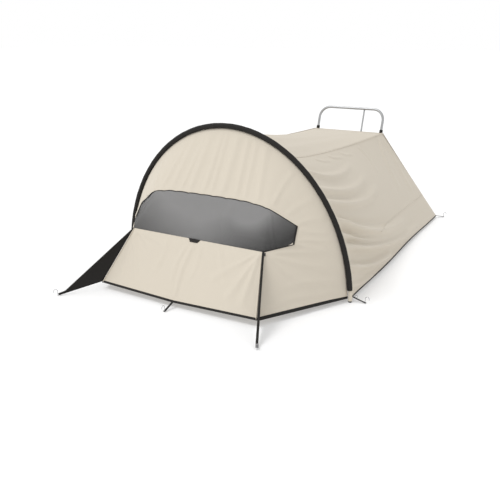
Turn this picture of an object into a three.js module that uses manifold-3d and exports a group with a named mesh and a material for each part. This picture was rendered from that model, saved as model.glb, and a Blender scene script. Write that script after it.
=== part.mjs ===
// A folding camp cot with a one-person shelter pitched over it.
// The shelter hangs from one hoop pole near the head end and from the cot's own foot bow,
// which stands up through the cover at the tail. All lengths are millimetres, +Z is up,
// the door faces -Y and the head of the cot lies just behind the hoop.
import * as THREE from 'three';
import { mergeVertices } from 'three/addons/utils/BufferGeometryUtils.js';
import Module from 'manifold-3d';

const wasm = await Module();
wasm.setup();

// ---- Driving dimensions -------------------------------------------------------------------

// Hoop pole and the sleeve that holds the cover to it
const HOOP_HALF_WIDTH = 900;
const HOOP_HEIGHT = 1058;
const HOOP_LEAN = 51; // the top of the hoop leans this far to the front
const POLE_RADIUS = 5;
const SLEEVE_RADIUS = 13.5;
const SLEEVE_BORE = 7.5;
const SLEEVE_START = 48; // height of the sleeve's open ends
const HOOP_CUP_RADIUS = 12;
const HOOP_CUP_BORE = 8.6;
const HOOP_CUP_HEIGHT = 45;
const HOOP_CUP_FLOOR = 6;

// Cover: fabric, seams and hem heights
const FABRIC = 3;
const SEAM_GAP = 0.6; // clearance between two panels along their seam
const SLEEVE_GAP = 0.8; // clearance between a panel's edge and the sleeve
const SEAM_SAG = 42; // how far the ridge seams and the roof hang below a straight line
const FRONT_CORNER = new THREE.Vector3(605, -648, 51);
const FRONT_HEM_DIP = new THREE.Vector3(0, -662, 39);
const FLAP_TOP = new THREE.Vector3(506, -422, 382);
const HOOP_HEM_REACH = 1; // the hem lies this far outside the hoop's foot
const HOOP_HEM = new THREE.Vector3(HOOP_HALF_WIDTH + HOOP_HEM_REACH, 26, 31);
const HOOP_HEM_FRONT_HEIGHT = 33;
const TAIL_CORNER = new THREE.Vector3(711, 2353, 20);
const FACE_SEAM_ANGLE = 1.17; // where the face's side seam meets the hoop, radians round it
const RIDGE_ANGLE = 1.03; // where the ridge seam meets the hoop, radians round it

// Insect mesh window in the face: one half of its outline, from the middle outwards
const WINDOW_TOP = [
  new THREE.Vector3(0, -280, 640),
  new THREE.Vector3(150, -280, 639),
  new THREE.Vector3(300, -278, 634),
  new THREE.Vector3(437, -277, 614),
];
const WINDOW_SHOULDER = [
  new THREE.Vector3(487, -262, 592),
  new THREE.Vector3(556, -234, 549),
  new THREE.Vector3(617, -205, 508),
];
const WINDOW_END = new THREE.Vector3(627, -265, 407);

// Tail wall with its own mesh window, measured up the slope of the wall
const TAIL_TOP_GAP = 19; // from the bow's plane to the roof's rear edge and to the tail wall
const TAIL_TOP_DROP = 10; // the tail wall's top edge lies this far below the roof's edge
const TAIL_CORNER_GAP = 9;
const TAIL_WINDOW = { low: 130, high: 560, lowHalf: 400, highHalf: 270 };

// Guy wings, straps and pegs
const WING_PEG = new THREE.Vector3(760, -904, 0);
const WING_TIP_SHARE = 0.83; // how far towards its peg the wing's cloth reaches
const WING_THICKNESS = 2.4;
const STRAP_WIDTH = 16;
const STRAP_THICKNESS = 1.6;
const STRAP_HOLE = 3.4;
const STRAP_PEG_HEIGHT = 6;
const FRONT_PEG = new THREE.Vector3(0, -748, 0);
const HOOP_STRAP_LENGTH = 86;
const TAIL_STRAP_LENGTH = 72;
const PEG_RADIUS = 2;
const PEG_HEIGHT = 47;
const PEG_HOOK_RADIUS = 13;
const PEG_TAIL = 8;

// Cot frame
const COT_HALF_WIDTH = 303; // to the middle of the side tubes
const TUBE_RADIUS = 11;
const DECK_HEIGHT = 285; // to the middle of the side tubes
const HEAD_END = 30;
const FOOT_END = 1930;
const FRAME_JOINT = 960;
const FRAME_JOINT_GAP = 8;
const FRAME_CORNER = 60;
const COUPLER_LENGTH = 80;
const COUPLER_WALL = 2.4;
const SLIP_GAP = 0.4; // clearance of sleeves, eyes and saddles on their tubes

// Sling deck and backrest
const SLING = 2.6;
const SLING_NOTCH = 30; // cloth cut back on each side of a bracket
const SLING_NOTCH_GAP = 5; // beyond the coupler
const SLING_HEM_GAP = 0.2; // keeps the hem's edge clear of the bore
const BACKREST_HINGE = 700;
const SLING_HINGE_GAP = 22; // from the backrest's hinge to the deck's cloth
const SLING_FOOT_GAP = 80; // from the foot end to the deck's cloth
const SLING_START = BACKREST_HINGE + SLING_HINGE_GAP;
const SLING_END = FOOT_END - SLING_FOOT_GAP;
const BACKREST_RADIUS = 9;
const BACKREST_SIDE_GAP = 15; // between the backrest's tube and the side tube
const BACKREST_HALF_WIDTH = COT_HALF_WIDTH - TUBE_RADIUS - BACKREST_RADIUS - BACKREST_SIDE_GAP;
const BACKREST_END_GAP = 2; // between the backrest's tube and the head end's tube
const BACKREST_END = HEAD_END + TUBE_RADIUS + BACKREST_RADIUS + BACKREST_END_GAP;
const BACKREST_CORNER = 50;
const BACKREST_SLING_GAP = 8; // from the bend to the backrest's cloth
const BACKREST_SLING_HINGE_GAP = 28;
const BACKREST_SLING_START = BACKREST_END + BACKREST_CORNER + BACKREST_SLING_GAP;
const BACKREST_SLING_END = BACKREST_HINGE - BACKREST_SLING_HINGE_GAP;

// Folding legs
const LEG_STATIONS = { head: 250, mid: 1045, foot: 1690 };
const LEG_RADIUS = 10;
const LEG_CORNER = 45;
const LEG_SIDE_GAP = 20; // between the leg's tube and the side tube
const LEG_HALF_WIDTH = COT_HALF_WIDTH - TUBE_RADIUS - LEG_RADIUS - LEG_SIDE_GAP;
const PIVOT_RADIUS = 9;
const PIVOT_GAP = 8; // between the pivot tube and the side tubes, which lie above it
const LEG_PIVOT_DROP = TUBE_RADIUS + PIVOT_RADIUS + PIVOT_GAP;
const EYE_WALL = 4.4;
const EYE_LENGTH = 24;
const BRACKET_PLATE = 4;
const BRACKET_LENGTH = 40;
const BRACKET_TOP = 6; // above the middle of the side tubes
const BRACKET_LIP = 4; // below the pivot tube
const SHOE_WALL = 3.6;
const SHOE_LENGTH = 50;
const SHOE_OFFSET = 170;

// Foot bow
const BOW_LEAN = THREE.MathUtils.degToRad(16.1);
const BOW_LENGTH = 701; // pivot pin to the middle of the top bar
const BOW_CORNER = 96;
const BOW_TAIL = 12;
const BOW_TAIL_GAP = 14; // between the bow's end and the side tube below it
const BOW_PIVOT_RISE = TUBE_RADIUS + BOW_TAIL + BOW_TAIL_GAP;
const CUFF_HEIGHT = 805; // where the bow leaves the cover
const BOW_PIVOT_Y = 1758;
const BOW_PIN_RADIUS = 4;
const SADDLE_PLATE = 3.2;
const SADDLE_LENGTH = 44;
const SADDLE_LIP = 9; // above the pin
const STAY_OFFSET = 119;
const STAY_RADIUS = 7;
const CROSSBAR_RADIUS = 8;
const CROSSBAR_BELOW_CUFF = 38;
const CUFF_WALL = 4;
const CUFF_LENGTH = 50;

// Door flap furniture
const TAB = { topHalf: 45, lowHalf: 29, height: 22, thickness: 2 };
const SLIDER = { width: 9, length: 20, thickness: 5 };

// ---- Materials ----------------------------------------------------------------------------

const finish = (color, roughness, metalness = 0) => () =>
  new THREE.MeshStandardMaterial({ color, roughness, metalness });
const canvas = finish(0xddd5c5, 0.9);
const blackCloth = finish(0x262422, 0.85);
const insectMesh = finish(0x5c5c5a, 0.8);
const slingCloth = finish(0x3c4147, 0.85);
const aluminium = finish(0xb4b5b6, 0.35, 0.9);
const steel = finish(0xc9c9ca, 0.25, 1);
const rubber = finish(0x1d1d1e, 0.9);
const plastic = finish(0x28282a, 0.6);

// ---- Building blocks ----------------------------------------------------------------------

const group = new THREE.Group();

function add(name, geometry, material, parent = group) {
  const mesh = new THREE.Mesh(geometry, material());
  mesh.name = name;
  parent.add(mesh);
  return mesh;
}

const vec = (x, y, z) => new THREE.Vector3(x, y, z);
const mirrored = (point) => vec(-point.x, point.y, point.z);
const onSide = (point, side) => (side > 0 ? point.clone() : mirrored(point));
const lerp = (a, b, share) => a.clone().lerp(b, share);
const SIDES = { right: 1, left: -1 };

// Points along a straight run, both ends included.
function run(from, to, steps) {
  return Array.from({ length: steps + 1 }, (_, i) => lerp(from, to, i / steps));
}

function toSolid(geometry) {
  const plain = geometry.clone();
  plain.deleteAttribute('normal');
  plain.deleteAttribute('uv');
  const merged = mergeVertices(plain, 1e-3);
  return new wasm.Manifold(new wasm.Mesh({
    numProp: 3,
    vertProperties: new Float32Array(merged.attributes.position.array),
    triVerts: new Uint32Array(merged.index.array),
  }));
}

function toGeometry(solid) {
  const mesh = solid.getMesh();
  const geometry = new THREE.BufferGeometry();
  geometry.setAttribute('position', new THREE.BufferAttribute(mesh.vertProperties, 3));
  geometry.setIndex(new THREE.BufferAttribute(mesh.triVerts, 1));
  return geometry;
}

function join(first, ...others) {
  return toGeometry(others.reduce((sum, next) => sum.add(toSolid(next)), toSolid(first)));
}

function cut(first, ...others) {
  return toGeometry(others.reduce((rest, next) => rest.subtract(toSolid(next)), toSolid(first)));
}

function box(sizeX, sizeY, sizeZ, x, y, z) {
  return new THREE.BoxGeometry(sizeX, sizeY, sizeZ).translate(x, y, z);
}

// A solid bar lying along X.
function barX(radius, length, x, y, z, sides = 12) {
  return new THREE.CylinderGeometry(radius, radius, length, sides).rotateZ(Math.PI / 2).translate(x, y, z);
}

// A ring of square section round the local Z axis. The flats of its bore touch the inner circle.
function ring(inner, outer, length, sides = 12) {
  const half = length / 2;
  const bore = inner / Math.cos(Math.PI / sides);
  const profile = [[bore, -half], [outer, -half], [outer, half], [bore, half], [bore, -half]];
  const points = profile.map(([radius, height]) => new THREE.Vector2(radius, height));
  return new THREE.LatheGeometry(points, sides).rotateX(Math.PI / 2);
}

function disc(radius, sides) {
  const corner = (i) => {
    const angle = ((i + 0.5) / sides) * 2 * Math.PI;
    return new THREE.Vector2(radius * Math.cos(angle), radius * Math.sin(angle));
  };
  return Array.from({ length: sides }, (_, i) => corner(i));
}

// A polygon whose flats touch the circle from outside, for a bore.
function around(radius, sides) {
  return disc(radius / Math.cos(Math.PI / sides), sides);
}

// A round bar along a curve, or a tube with open ends when it is given a bore.
function sweep(curve, radius, sides = 8, steps = curve.steps, bore = 0) {
  const section = new THREE.Shape(disc(radius, sides));
  if (bore > 0) section.holes.push(new THREE.Path(around(bore, 6)));
  return new THREE.ExtrudeGeometry(section, { steps, extrudePath: curve });
}

// A path of straight runs with round corners of one radius. Each straight takes one step
// of a sweep and each corner several.
class BentPath extends THREE.Curve {
  constructor(points, radius) {
    super();
    this.pieces = [];
    let start = points[0];
    for (let i = 1; i < points.length - 1; i += 1) {
      const corner = points[i];
      const back = points[i - 1].clone().sub(corner).normalize();
      const ahead = points[i + 1].clone().sub(corner).normalize();
      const towards = (direction, length) => corner.clone().addScaledVector(direction, length);
      const handle = 0.448 * radius;
      const bend = new THREE.CubicBezierCurve3(
        towards(back, radius), towards(back, handle), towards(ahead, handle), towards(ahead, radius),
      );
      this.pieces.push({ curve: new THREE.LineCurve3(start, bend.v0), steps: 1 }, { curve: bend, steps: 6 });
      start = bend.v3;
    }
    this.pieces.push({ curve: new THREE.LineCurve3(start, points[points.length - 1]), steps: 1 });
    this.steps = this.pieces.reduce((sum, piece) => sum + piece.steps, 0);
  }

  getPoint(share, target = new THREE.Vector3()) {
    let left = share * this.steps;
    for (const { curve, steps } of this.pieces) {
      if (left <= steps) return target.copy(curve.getPoint(left / steps));
      left -= steps;
    }
    return target.copy(this.pieces[this.pieces.length - 1].curve.getPoint(1));
  }

  // Steps are counted by piece and not by length.
  getUtoTmapping(share) {
    return share;
  }
}

// A sheet of cloth between two rows of points, with a thickness on its inner side.
// inward gives the direction of that side, and sag how far a point hangs that way.
function sheet(first, last, rows, inward, sag = () => 0, inset = SEAM_GAP) {
  const grid = first.map((from, i) => run(from, last[i], rows).map((point, j) => (
    point.addScaledVector(inward(point), sag(i / (first.length - 1), j / rows)))));
  const pull = (from, to) => from.add(to.clone().sub(from).setLength(inset));
  for (const line of grid) {
    pull(line[0], line[1]);
    pull(line[rows], line[rows - 1]);
  }
  const end = grid.length - 1;
  for (let j = 0; j <= rows; j += 1) {
    pull(grid[0][j], grid[1][j]);
    pull(grid[end][j], grid[end - 1][j]);
  }
  return thicken(grid, inward);
}

function thicken(grid, inward) {
  const columns = grid.length;
  const rows = grid[0].length;
  const outer = grid.flat();
  const inner = outer.map((point) => point.clone().addScaledVector(inward(point), FABRIC));
  const index = [];
  const at = (i, j) => i * rows + j;
  const quad = (a, b, c, d) => index.push(a, b, c, a, c, d);
  for (let i = 0; i < columns - 1; i += 1) {
    for (let j = 0; j < rows - 1; j += 1) {
      const corners = [at(i, j), at(i + 1, j), at(i + 1, j + 1), at(i, j + 1)];
      quad(...corners);
      quad(...corners.reverse().map((corner) => corner + outer.length));
    }
  }
  const edge = [];
  for (let i = 0; i < columns; i += 1) edge.push(at(i, 0));
  for (let j = 1; j < rows; j += 1) edge.push(at(columns - 1, j));
  for (let i = columns - 2; i >= 0; i -= 1) edge.push(at(i, rows - 1));
  for (let j = rows - 2; j > 0; j -= 1) edge.push(at(0, j));
  edge.forEach((corner, i) => {
    const next = edge[(i + 1) % edge.length];
    quad(next, corner, corner + outer.length, next + outer.length);
  });
  const points = [...outer, ...inner];
  const geometry = new THREE.BufferGeometry().setFromPoints(points);
  if (volume(points, index) < 0) index.reverse();
  geometry.setIndex(index);
  return geometry;
}

function volume(points, index) {
  let sum = 0;
  for (let i = 0; i < index.length; i += 3) {
    const [a, b, c] = [points[index[i]], points[index[i + 1]], points[index[i + 2]]];
    sum += a.dot(b.clone().cross(c)) / 6;
  }
  return sum;
}

// A flat plate with the given corners, half its thickness on each side of their plane.
function plate(corners, thickness, holes = []) {
  const along = corners[1].clone().sub(corners[0]).normalize();
  const normal = along.clone().cross(corners[2].clone().sub(corners[0])).normalize();
  const across = normal.clone().cross(along);
  const flat = (point) => {
    const offset = point.clone().sub(corners[0]);
    return new THREE.Vector2(offset.dot(along), offset.dot(across));
  };
  const shape = new THREE.Shape(corners.map(flat));
  holes.forEach((hole) => shape.holes.push(new THREE.Path(hole.map(flat))));
  const geometry = new THREE.ExtrudeGeometry(shape, { depth: thickness, bevelEnabled: false });
  geometry.translate(0, 0, -thickness / 2);
  const basis = new THREE.Matrix4().makeBasis(along, across, normal).setPosition(corners[0]);
  return geometry.applyMatrix4(basis);
}

// ---- Hoop ---------------------------------------------------------------------------------

// A point on the hoop's centre line, shrunk towards its middle and pushed back if asked.
function hoopPoint(angle, shrink = 0, back = 0) {
  return vec(
    (HOOP_HALF_WIDTH - shrink) * Math.cos(angle),
    back - HOOP_LEAN * Math.sin(angle),
    (HOOP_HEIGHT - shrink) * Math.sin(angle),
  );
}

class HoopCurve extends THREE.Curve {
  constructor(startHeight) {
    super();
    this.start = Math.asin(startHeight / HOOP_HEIGHT);
  }

  getPoint(share, target = new THREE.Vector3()) {
    return target.copy(hoopPoint(this.start + share * (Math.PI - 2 * this.start)));
  }
}

function buildHoop() {
  const poleCurve = new HoopCurve(HOOP_CUP_FLOOR + SLIP_GAP);
  add('hoop_pole', sweep(poleCurve, POLE_RADIUS, 6, 36), plastic);
  add('pole_sleeve', sweep(new HoopCurve(SLEEVE_START), SLEEVE_RADIUS, 8, 36, SLEEVE_BORE), blackCloth);
  const profile = [
    [0, 0], [HOOP_CUP_RADIUS, 0], [HOOP_CUP_RADIUS, HOOP_CUP_HEIGHT], [HOOP_CUP_BORE, HOOP_CUP_HEIGHT],
    [HOOP_CUP_BORE, HOOP_CUP_FLOOR], [0, HOOP_CUP_FLOOR],
  ].map(([radius, height]) => new THREE.Vector2(radius, height));
  for (const [name, side] of Object.entries(SIDES)) {
    const cup = new THREE.LatheGeometry(profile, 12).rotateX(Math.PI / 2);
    add(`hoop_cup_${name}`, cup, plastic).position.x = side * HOOP_HALF_WIDTH;
  }
}

// ---- Cover, front part --------------------------------------------------------------------

const SHRINK = SLEEVE_RADIUS + SLEEVE_GAP;
const HOOP_HEM_ANGLE = Math.asin(HOOP_HEM_FRONT_HEIGHT / HOOP_HEIGHT);
// Where the side panel's cloth lines meet the hoop, one for each point of its front edge
const SIDE_ANGLES = [HOOP_HEM_ANGLE, 0.142, 0.287, 0.372, 0.4, 0.44, 0.6, 0.75, 0.93, FACE_SEAM_ANGLE];
const rearwards = () => vec(0, 1, 0);

function windowTopRow() {
  const half = WINDOW_TOP.map((point) => point.clone());
  return [...half.slice(1).reverse().map(mirrored), ...half];
}

function buildFront() {
  const steps = WINDOW_TOP.length - 1;
  const seamCorner = WINDOW_TOP[steps];
  const [innerShoulder, shoulder, outerShoulder] = WINDOW_SHOULDER;

  const topRow = windowTopRow();
  const hoopRow = topRow.map((_, i) => {
    const share = i / (topRow.length - 1);
    return hoopPoint(Math.PI - FACE_SEAM_ANGLE - share * (Math.PI - 2 * FACE_SEAM_ANGLE), SHRINK);
  });
  add('canopy_face', sheet(topRow, hoopRow, 5, rearwards), canvas);

  const flapTopRow = run(mirrored(FLAP_TOP), FLAP_TOP, 2 * steps);
  const hemRow = [
    ...run(mirrored(FRONT_CORNER), FRONT_HEM_DIP, steps),
    ...run(FRONT_HEM_DIP, FRONT_CORNER, steps).slice(1),
  ];
  add('door_flap', sheet(hemRow, flapTopRow, 4, rearwards), canvas);

  const lowRight = run(FLAP_TOP, WINDOW_END, 3).slice(1);
  const highRight = [innerShoulder, shoulder, outerShoulder];
  const lowRow = [...lowRight.map(mirrored).reverse(), ...flapTopRow, ...lowRight];
  const highRow = [...highRight.map(mirrored).reverse(), ...topRow, ...highRight];
  add('window_mesh', sheet(lowRow, highRow, 3, rearwards), insectMesh);

  for (const [name, side] of Object.entries(SIDES)) {
    const frontEdge = [
      FRONT_CORNER, lerp(FRONT_CORNER, FLAP_TOP, 0.5), FLAP_TOP, ...lowRight,
      outerShoulder, shoulder, innerShoulder, seamCorner,
    ].map((point) => onSide(point, side));
    const hoopEdge = SIDE_ANGLES.map((angle) => onSide(hoopPoint(angle, SHRINK), side));
    add(`canopy_side_${name}`, sheet(frontEdge, hoopEdge, 5, rearwards), canvas);
  }
}

function buildFlapTab() {
  const slope = FLAP_TOP.clone().setX(0).sub(FRONT_HEM_DIP).normalize();
  const normal = vec(1, 0, 0).cross(slope).normalize();
  const outward = normal.y < 0 ? normal : normal.negate();
  const lift = TAB.thickness / 2 + SEAM_GAP;
  const top = vec(0, FLAP_TOP.y, FLAP_TOP.z).addScaledVector(outward, lift);
  const low = top.clone().addScaledVector(slope, -TAB.height);
  const corners = [
    vec(-TAB.lowHalf, low.y, low.z), vec(TAB.lowHalf, low.y, low.z),
    vec(TAB.topHalf, top.y, top.z), vec(-TAB.topHalf, top.y, top.z),
  ];
  add('flap_tab', plate(corners, TAB.thickness), blackCloth);
}

// The zip runs beside the corner ridge on the side panel; its slider rests at the top.
function buildZipSliders() {
  for (const [name, side] of Object.entries(SIDES)) {
    const down = FRONT_CORNER.clone().sub(FLAP_TOP).normalize();
    const across = hoopPoint(SIDE_ANGLES[2], SHRINK).sub(lerp(FRONT_CORNER, FLAP_TOP, 0.5));
    across.addScaledVector(down, -across.dot(down)).normalize();
    const outward = down.clone().cross(across);
    if (outward.x < 0) outward.negate();
    const place = FLAP_TOP.clone()
      .addScaledVector(down, 0.75 * SLIDER.length)
      .addScaledVector(across, 1.4 * SLIDER.width)
      .addScaledVector(outward, 0.9 * SLIDER.thickness);
    const body = new THREE.BoxGeometry(SLIDER.width, SLIDER.thickness, SLIDER.length);
    const frameAxes = new THREE.Matrix4().makeBasis(outward.clone().cross(down), outward, down);
    body.applyMatrix4(frameAxes.setPosition(place));
    if (side < 0) {
      body.scale(-1, 1, 1);
      body.setIndex([...body.index.array].reverse());
    }
    add(`zip_slider_${name}`, body, plastic);
  }
}

// ---- Bow position -------------------------------------------------------------------------

const bowPivot = vec(0, BOW_PIVOT_Y, DECK_HEIGHT + BOW_PIVOT_RISE);
const cuffAlong = (CUFF_HEIGHT - bowPivot.z) / Math.cos(BOW_LEAN);
const cuffY = BOW_PIVOT_Y + cuffAlong * Math.sin(BOW_LEAN);

// A group whose Z axis runs up the leaning bow from its pivot.
const bowGroup = new THREE.Group();
bowGroup.position.copy(bowPivot);
bowGroup.rotation.x = -BOW_LEAN;
group.add(bowGroup);

// ---- Cover, rear part ---------------------------------------------------------------------

const ROOF_CORNER = vec(COT_HALF_WIDTH + TAIL_TOP_GAP, cuffY - TAIL_TOP_GAP, CUFF_HEIGHT);
const TAIL_WALL_TOP = vec(ROOF_CORNER.x, cuffY + TAIL_TOP_GAP, CUFF_HEIGHT - TAIL_TOP_DROP);

// Cloth behind the hoop has its inner side towards a line low down in the middle.
const towardsMiddle = (point) => vec(-point.x, 0, 0.14 * HOOP_HEIGHT - point.z).normalize();

// How the cloth hangs along the cover, from nought at the hoop and the tail to one at a third.
const hang = (along) => 2.6 * Math.sqrt(along) * (1 - along);

function buildRear() {
  const wallRow = 8;
  const sagWall = (up, along) => SEAM_SAG * up * hang(along);
  const sagRoof = (_, along) => SEAM_SAG * hang(along);
  const hoopStart = Math.asin(SLEEVE_START / HOOP_HEIGHT);
  for (const [name, side] of Object.entries(SIDES)) {
    const hoopEdge = [HOOP_HEM.clone()];
    for (let i = 1; i <= wallRow; i += 1) {
      const share = (i - 0.5) / (wallRow - 0.5);
      hoopEdge.push(hoopPoint(hoopStart + share * (RIDGE_ANGLE - hoopStart), 0, SHRINK));
    }
    const tailEdge = run(TAIL_CORNER, ROOF_CORNER, wallRow);
    const toSide = (point) => onSide(point, side);
    const wall = sheet(hoopEdge.map(toSide), tailEdge.map(toSide), 10, towardsMiddle, sagWall);
    add(`side_wall_${name}`, wall, canvas);
  }
  const roofHoop = [];
  for (let i = 0; i <= wallRow; i += 1) {
    const angle = RIDGE_ANGLE + (i / wallRow) * (Math.PI - 2 * RIDGE_ANGLE);
    roofHoop.push(hoopPoint(angle, 0, SHRINK));
  }
  const roofTail = run(ROOF_CORNER, mirrored(ROOF_CORNER), wallRow);
  add('roof_panel', sheet(roofHoop, roofTail, 10, towardsMiddle, sagRoof), canvas);
  buildTailWall();
}

function buildTailWall() {
  const low = vec(TAIL_CORNER.x - TAIL_CORNER_GAP, TAIL_CORNER.y, TAIL_CORNER.z);
  const top = TAIL_WALL_TOP;
  const up = vec(0, top.y - low.y, top.z - low.z).normalize();
  const onWall = (x, height) => vec(x, low.y, low.z).addScaledVector(up, height);
  const frameOf = ({ low: from, high, lowHalf, highHalf }, gap) => [
    onWall(-lowHalf + gap, from + gap), onWall(lowHalf - gap, from + gap),
    onWall(highHalf - gap, high - gap), onWall(-highHalf + gap, high - gap),
  ];
  const outline = [mirrored(low), low, top, mirrored(top)];
  add('tail_wall', plate(outline, FABRIC, [frameOf(TAIL_WINDOW, 0)]), canvas);
  add('tail_mesh', plate(frameOf(TAIL_WINDOW, SEAM_GAP), FABRIC), insectMesh);
}

function buildCuffs() {
  for (const [name, side] of Object.entries(SIDES)) {
    const cuff = ring(TUBE_RADIUS + SLIP_GAP, TUBE_RADIUS + SLIP_GAP + CUFF_WALL, CUFF_LENGTH);
    add(`bow_cuff_${name}`, cuff, blackCloth, bowGroup).position.set(side * COT_HALF_WIDTH, 0, cuffAlong);
  }
}

// ---- Guy wings, straps and pegs -----------------------------------------------------------

// A wire peg with an open hook that points away along the ground.
function buildPeg(name, foot, outward) {
  const straight = PEG_HEIGHT - PEG_HOOK_RADIUS - PEG_RADIUS;
  const handle = (4 / 3) * PEG_HOOK_RADIUS;
  const wire = new THREE.CurvePath();
  wire.add(new THREE.LineCurve3(vec(0, 0, 0), vec(0, 0, straight)));
  wire.add(new THREE.CubicBezierCurve3(
    vec(0, 0, straight),
    vec(0, 0, straight + handle),
    vec(2 * PEG_HOOK_RADIUS, 0, straight + handle),
    vec(2 * PEG_HOOK_RADIUS, 0, straight),
  ));
  const tip = vec(2 * PEG_HOOK_RADIUS, 0, straight - PEG_TAIL);
  wire.add(new THREE.LineCurve3(vec(2 * PEG_HOOK_RADIUS, 0, straight), tip));
  const peg = add(name, sweep(wire, PEG_RADIUS, 6, 12), steel);
  peg.position.copy(foot);
  peg.rotation.z = Math.atan2(outward.y, outward.x);
}

// A flat strap from the hem down to its peg, with an eyelet round the peg.
function buildStrap(name, from, foot) {
  const end = foot.clone().setZ(STRAP_PEG_HEIGHT);
  const along = end.clone().sub(from);
  const length = along.length();
  along.normalize();
  const across = vec(-along.y, along.x, 0).normalize();
  const half = STRAP_WIDTH / 2;
  const shape = new THREE.Shape([
    new THREE.Vector2(SEAM_GAP, -half), new THREE.Vector2(length, -half),
    new THREE.Vector2(length + half, 0), new THREE.Vector2(length, half),
    new THREE.Vector2(SEAM_GAP, half),
  ]);
  const eyelet = around(STRAP_HOLE, 8).map((point) => point.add(new THREE.Vector2(length, 0)));
  shape.holes.push(new THREE.Path(eyelet));
  const strap = new THREE.ExtrudeGeometry(shape, { depth: STRAP_THICKNESS, bevelEnabled: false });
  const axes = new THREE.Matrix4().makeBasis(along, across, along.clone().cross(across));
  add(name, strap.applyMatrix4(axes.setPosition(from)), blackCloth);
}

function buildGuys() {
  for (const [name, side] of Object.entries(SIDES)) {
    const wingPeg = onSide(WING_PEG, side);
    const corner = onSide(FRONT_CORNER, side);
    const wingTop = onSide(FLAP_TOP, side);
    const outward = wingPeg.clone().sub(corner).setZ(0).normalize();
    buildPeg(`peg_wing_${name}`, wingPeg, outward);
    const clear = outward.clone().multiplyScalar(2 * SEAM_GAP + WING_THICKNESS);
    const tip = lerp(corner, wingPeg, WING_TIP_SHARE);
    const strapEnd = wingPeg.clone().addScaledVector(outward, -2 * PEG_RADIUS);
    const normal = wingTop.clone().sub(corner).cross(tip.clone().sub(corner)).normalize();
    const inPlane = (point) => point.addScaledVector(normal, -point.clone().sub(corner).dot(normal));
    const wing = [
      corner.clone().add(clear),
      inPlane(strapEnd.clone().setZ(1.5)),
      inPlane(strapEnd.clone().setZ(1.5 + 0.7 * STRAP_WIDTH)),
      inPlane(tip.clone().setZ(tip.z + STRAP_WIDTH)),
      wingTop.clone().add(clear),
    ];
    add(`guy_wing_${name}`, plate(wing, WING_THICKNESS), blackCloth);

    const sideways = vec(side, 0.06, 0).normalize();
    const hoopHem = onSide(HOOP_HEM, side).addScaledVector(sideways, FABRIC);
    const hoopPeg = hoopHem.clone().addScaledVector(sideways, HOOP_STRAP_LENGTH).setZ(0);
    buildStrap(`hoop_strap_${name}`, hoopHem, hoopPeg);
    buildPeg(`peg_hoop_${name}`, hoopPeg, sideways);

    const diagonal = vec(side, 1, 0).normalize();
    const tailHem = onSide(TAIL_CORNER, side).addScaledVector(diagonal, FABRIC);
    const tailPeg = tailHem.clone().addScaledVector(diagonal, TAIL_STRAP_LENGTH).setZ(0);
    buildStrap(`tail_strap_${name}`, tailHem, tailPeg);
    buildPeg(`peg_tail_${name}`, tailPeg, diagonal);
  }
  const frontHem = FRONT_HEM_DIP.clone().setY(FRONT_HEM_DIP.y - FABRIC);
  buildStrap('front_strap', frontHem, FRONT_PEG);
  buildPeg('peg_front', FRONT_PEG, vec(0, -1, 0));
}

// ---- Cot frame ----------------------------------------------------------------------------

function frameHalf(startY, endY) {
  return new BentPath([
    vec(COT_HALF_WIDTH, startY, DECK_HEIGHT), vec(COT_HALF_WIDTH, endY, DECK_HEIGHT),
    vec(-COT_HALF_WIDTH, endY, DECK_HEIGHT), vec(-COT_HALF_WIDTH, startY, DECK_HEIGHT),
  ], FRAME_CORNER);
}

function buildFrame() {
  const gap = FRAME_JOINT_GAP / 2;
  add('head_frame', sweep(frameHalf(FRAME_JOINT - gap, HEAD_END), TUBE_RADIUS, 10), aluminium);
  add('foot_frame', sweep(frameHalf(FRAME_JOINT + gap, FOOT_END), TUBE_RADIUS, 10), aluminium);
  for (const [name, side] of Object.entries(SIDES)) {
    const inner = TUBE_RADIUS + SLIP_GAP;
    const coupler = ring(inner, inner + COUPLER_WALL, COUPLER_LENGTH).rotateX(Math.PI / 2);
    const sleeve = add(`frame_coupler_${name}`, coupler, plastic);
    sleeve.position.set(side * COT_HALF_WIDTH, FRAME_JOINT, DECK_HEIGHT);
  }
  const hingeLength = 2 * (COT_HALF_WIDTH - TUBE_RADIUS - SLIP_GAP);
  add('backrest_pivot_tube', barX(BACKREST_RADIUS, hingeLength, 0, BACKREST_HINGE, DECK_HEIGHT), aluminium);
}

// ---- Sling deck and backrest --------------------------------------------------------------

// Cloth between two tubes, with a hem round each, as one section run along the cot.
function slingSection(halfWidth, radius) {
  const inner = radius + SLIP_GAP;
  const outer = inner + SLING;
  const lowEdge = Math.asin((inner + SLING_HEM_GAP) / outer);
  const shape = new THREE.Shape();
  shape.absarc(halfWidth, 0, outer, Math.PI / 2, lowEdge - Math.PI, true);
  shape.absarc(halfWidth, 0, outer, lowEdge - Math.PI, -Math.PI - lowEdge, true);
  shape.absarc(-halfWidth, 0, outer, lowEdge, -Math.PI / 2, true);
  shape.absarc(-halfWidth, 0, outer, -Math.PI / 2, -1.5 * Math.PI, true);
  for (const side of [1, -1]) {
    const centre = new THREE.Vector2(side * halfWidth, 0);
    shape.holes.push(new THREE.Path(around(inner, 12).map((point) => point.add(centre))));
  }
  return shape;
}

function sling(halfWidth, radius, startY, endY) {
  const options = { depth: endY - startY, bevelEnabled: false, curveSegments: 3 };
  const geometry = new THREE.ExtrudeGeometry(slingSection(halfWidth, radius), options);
  return geometry.rotateX(Math.PI / 2).translate(0, endY, DECK_HEIGHT);
}

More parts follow.
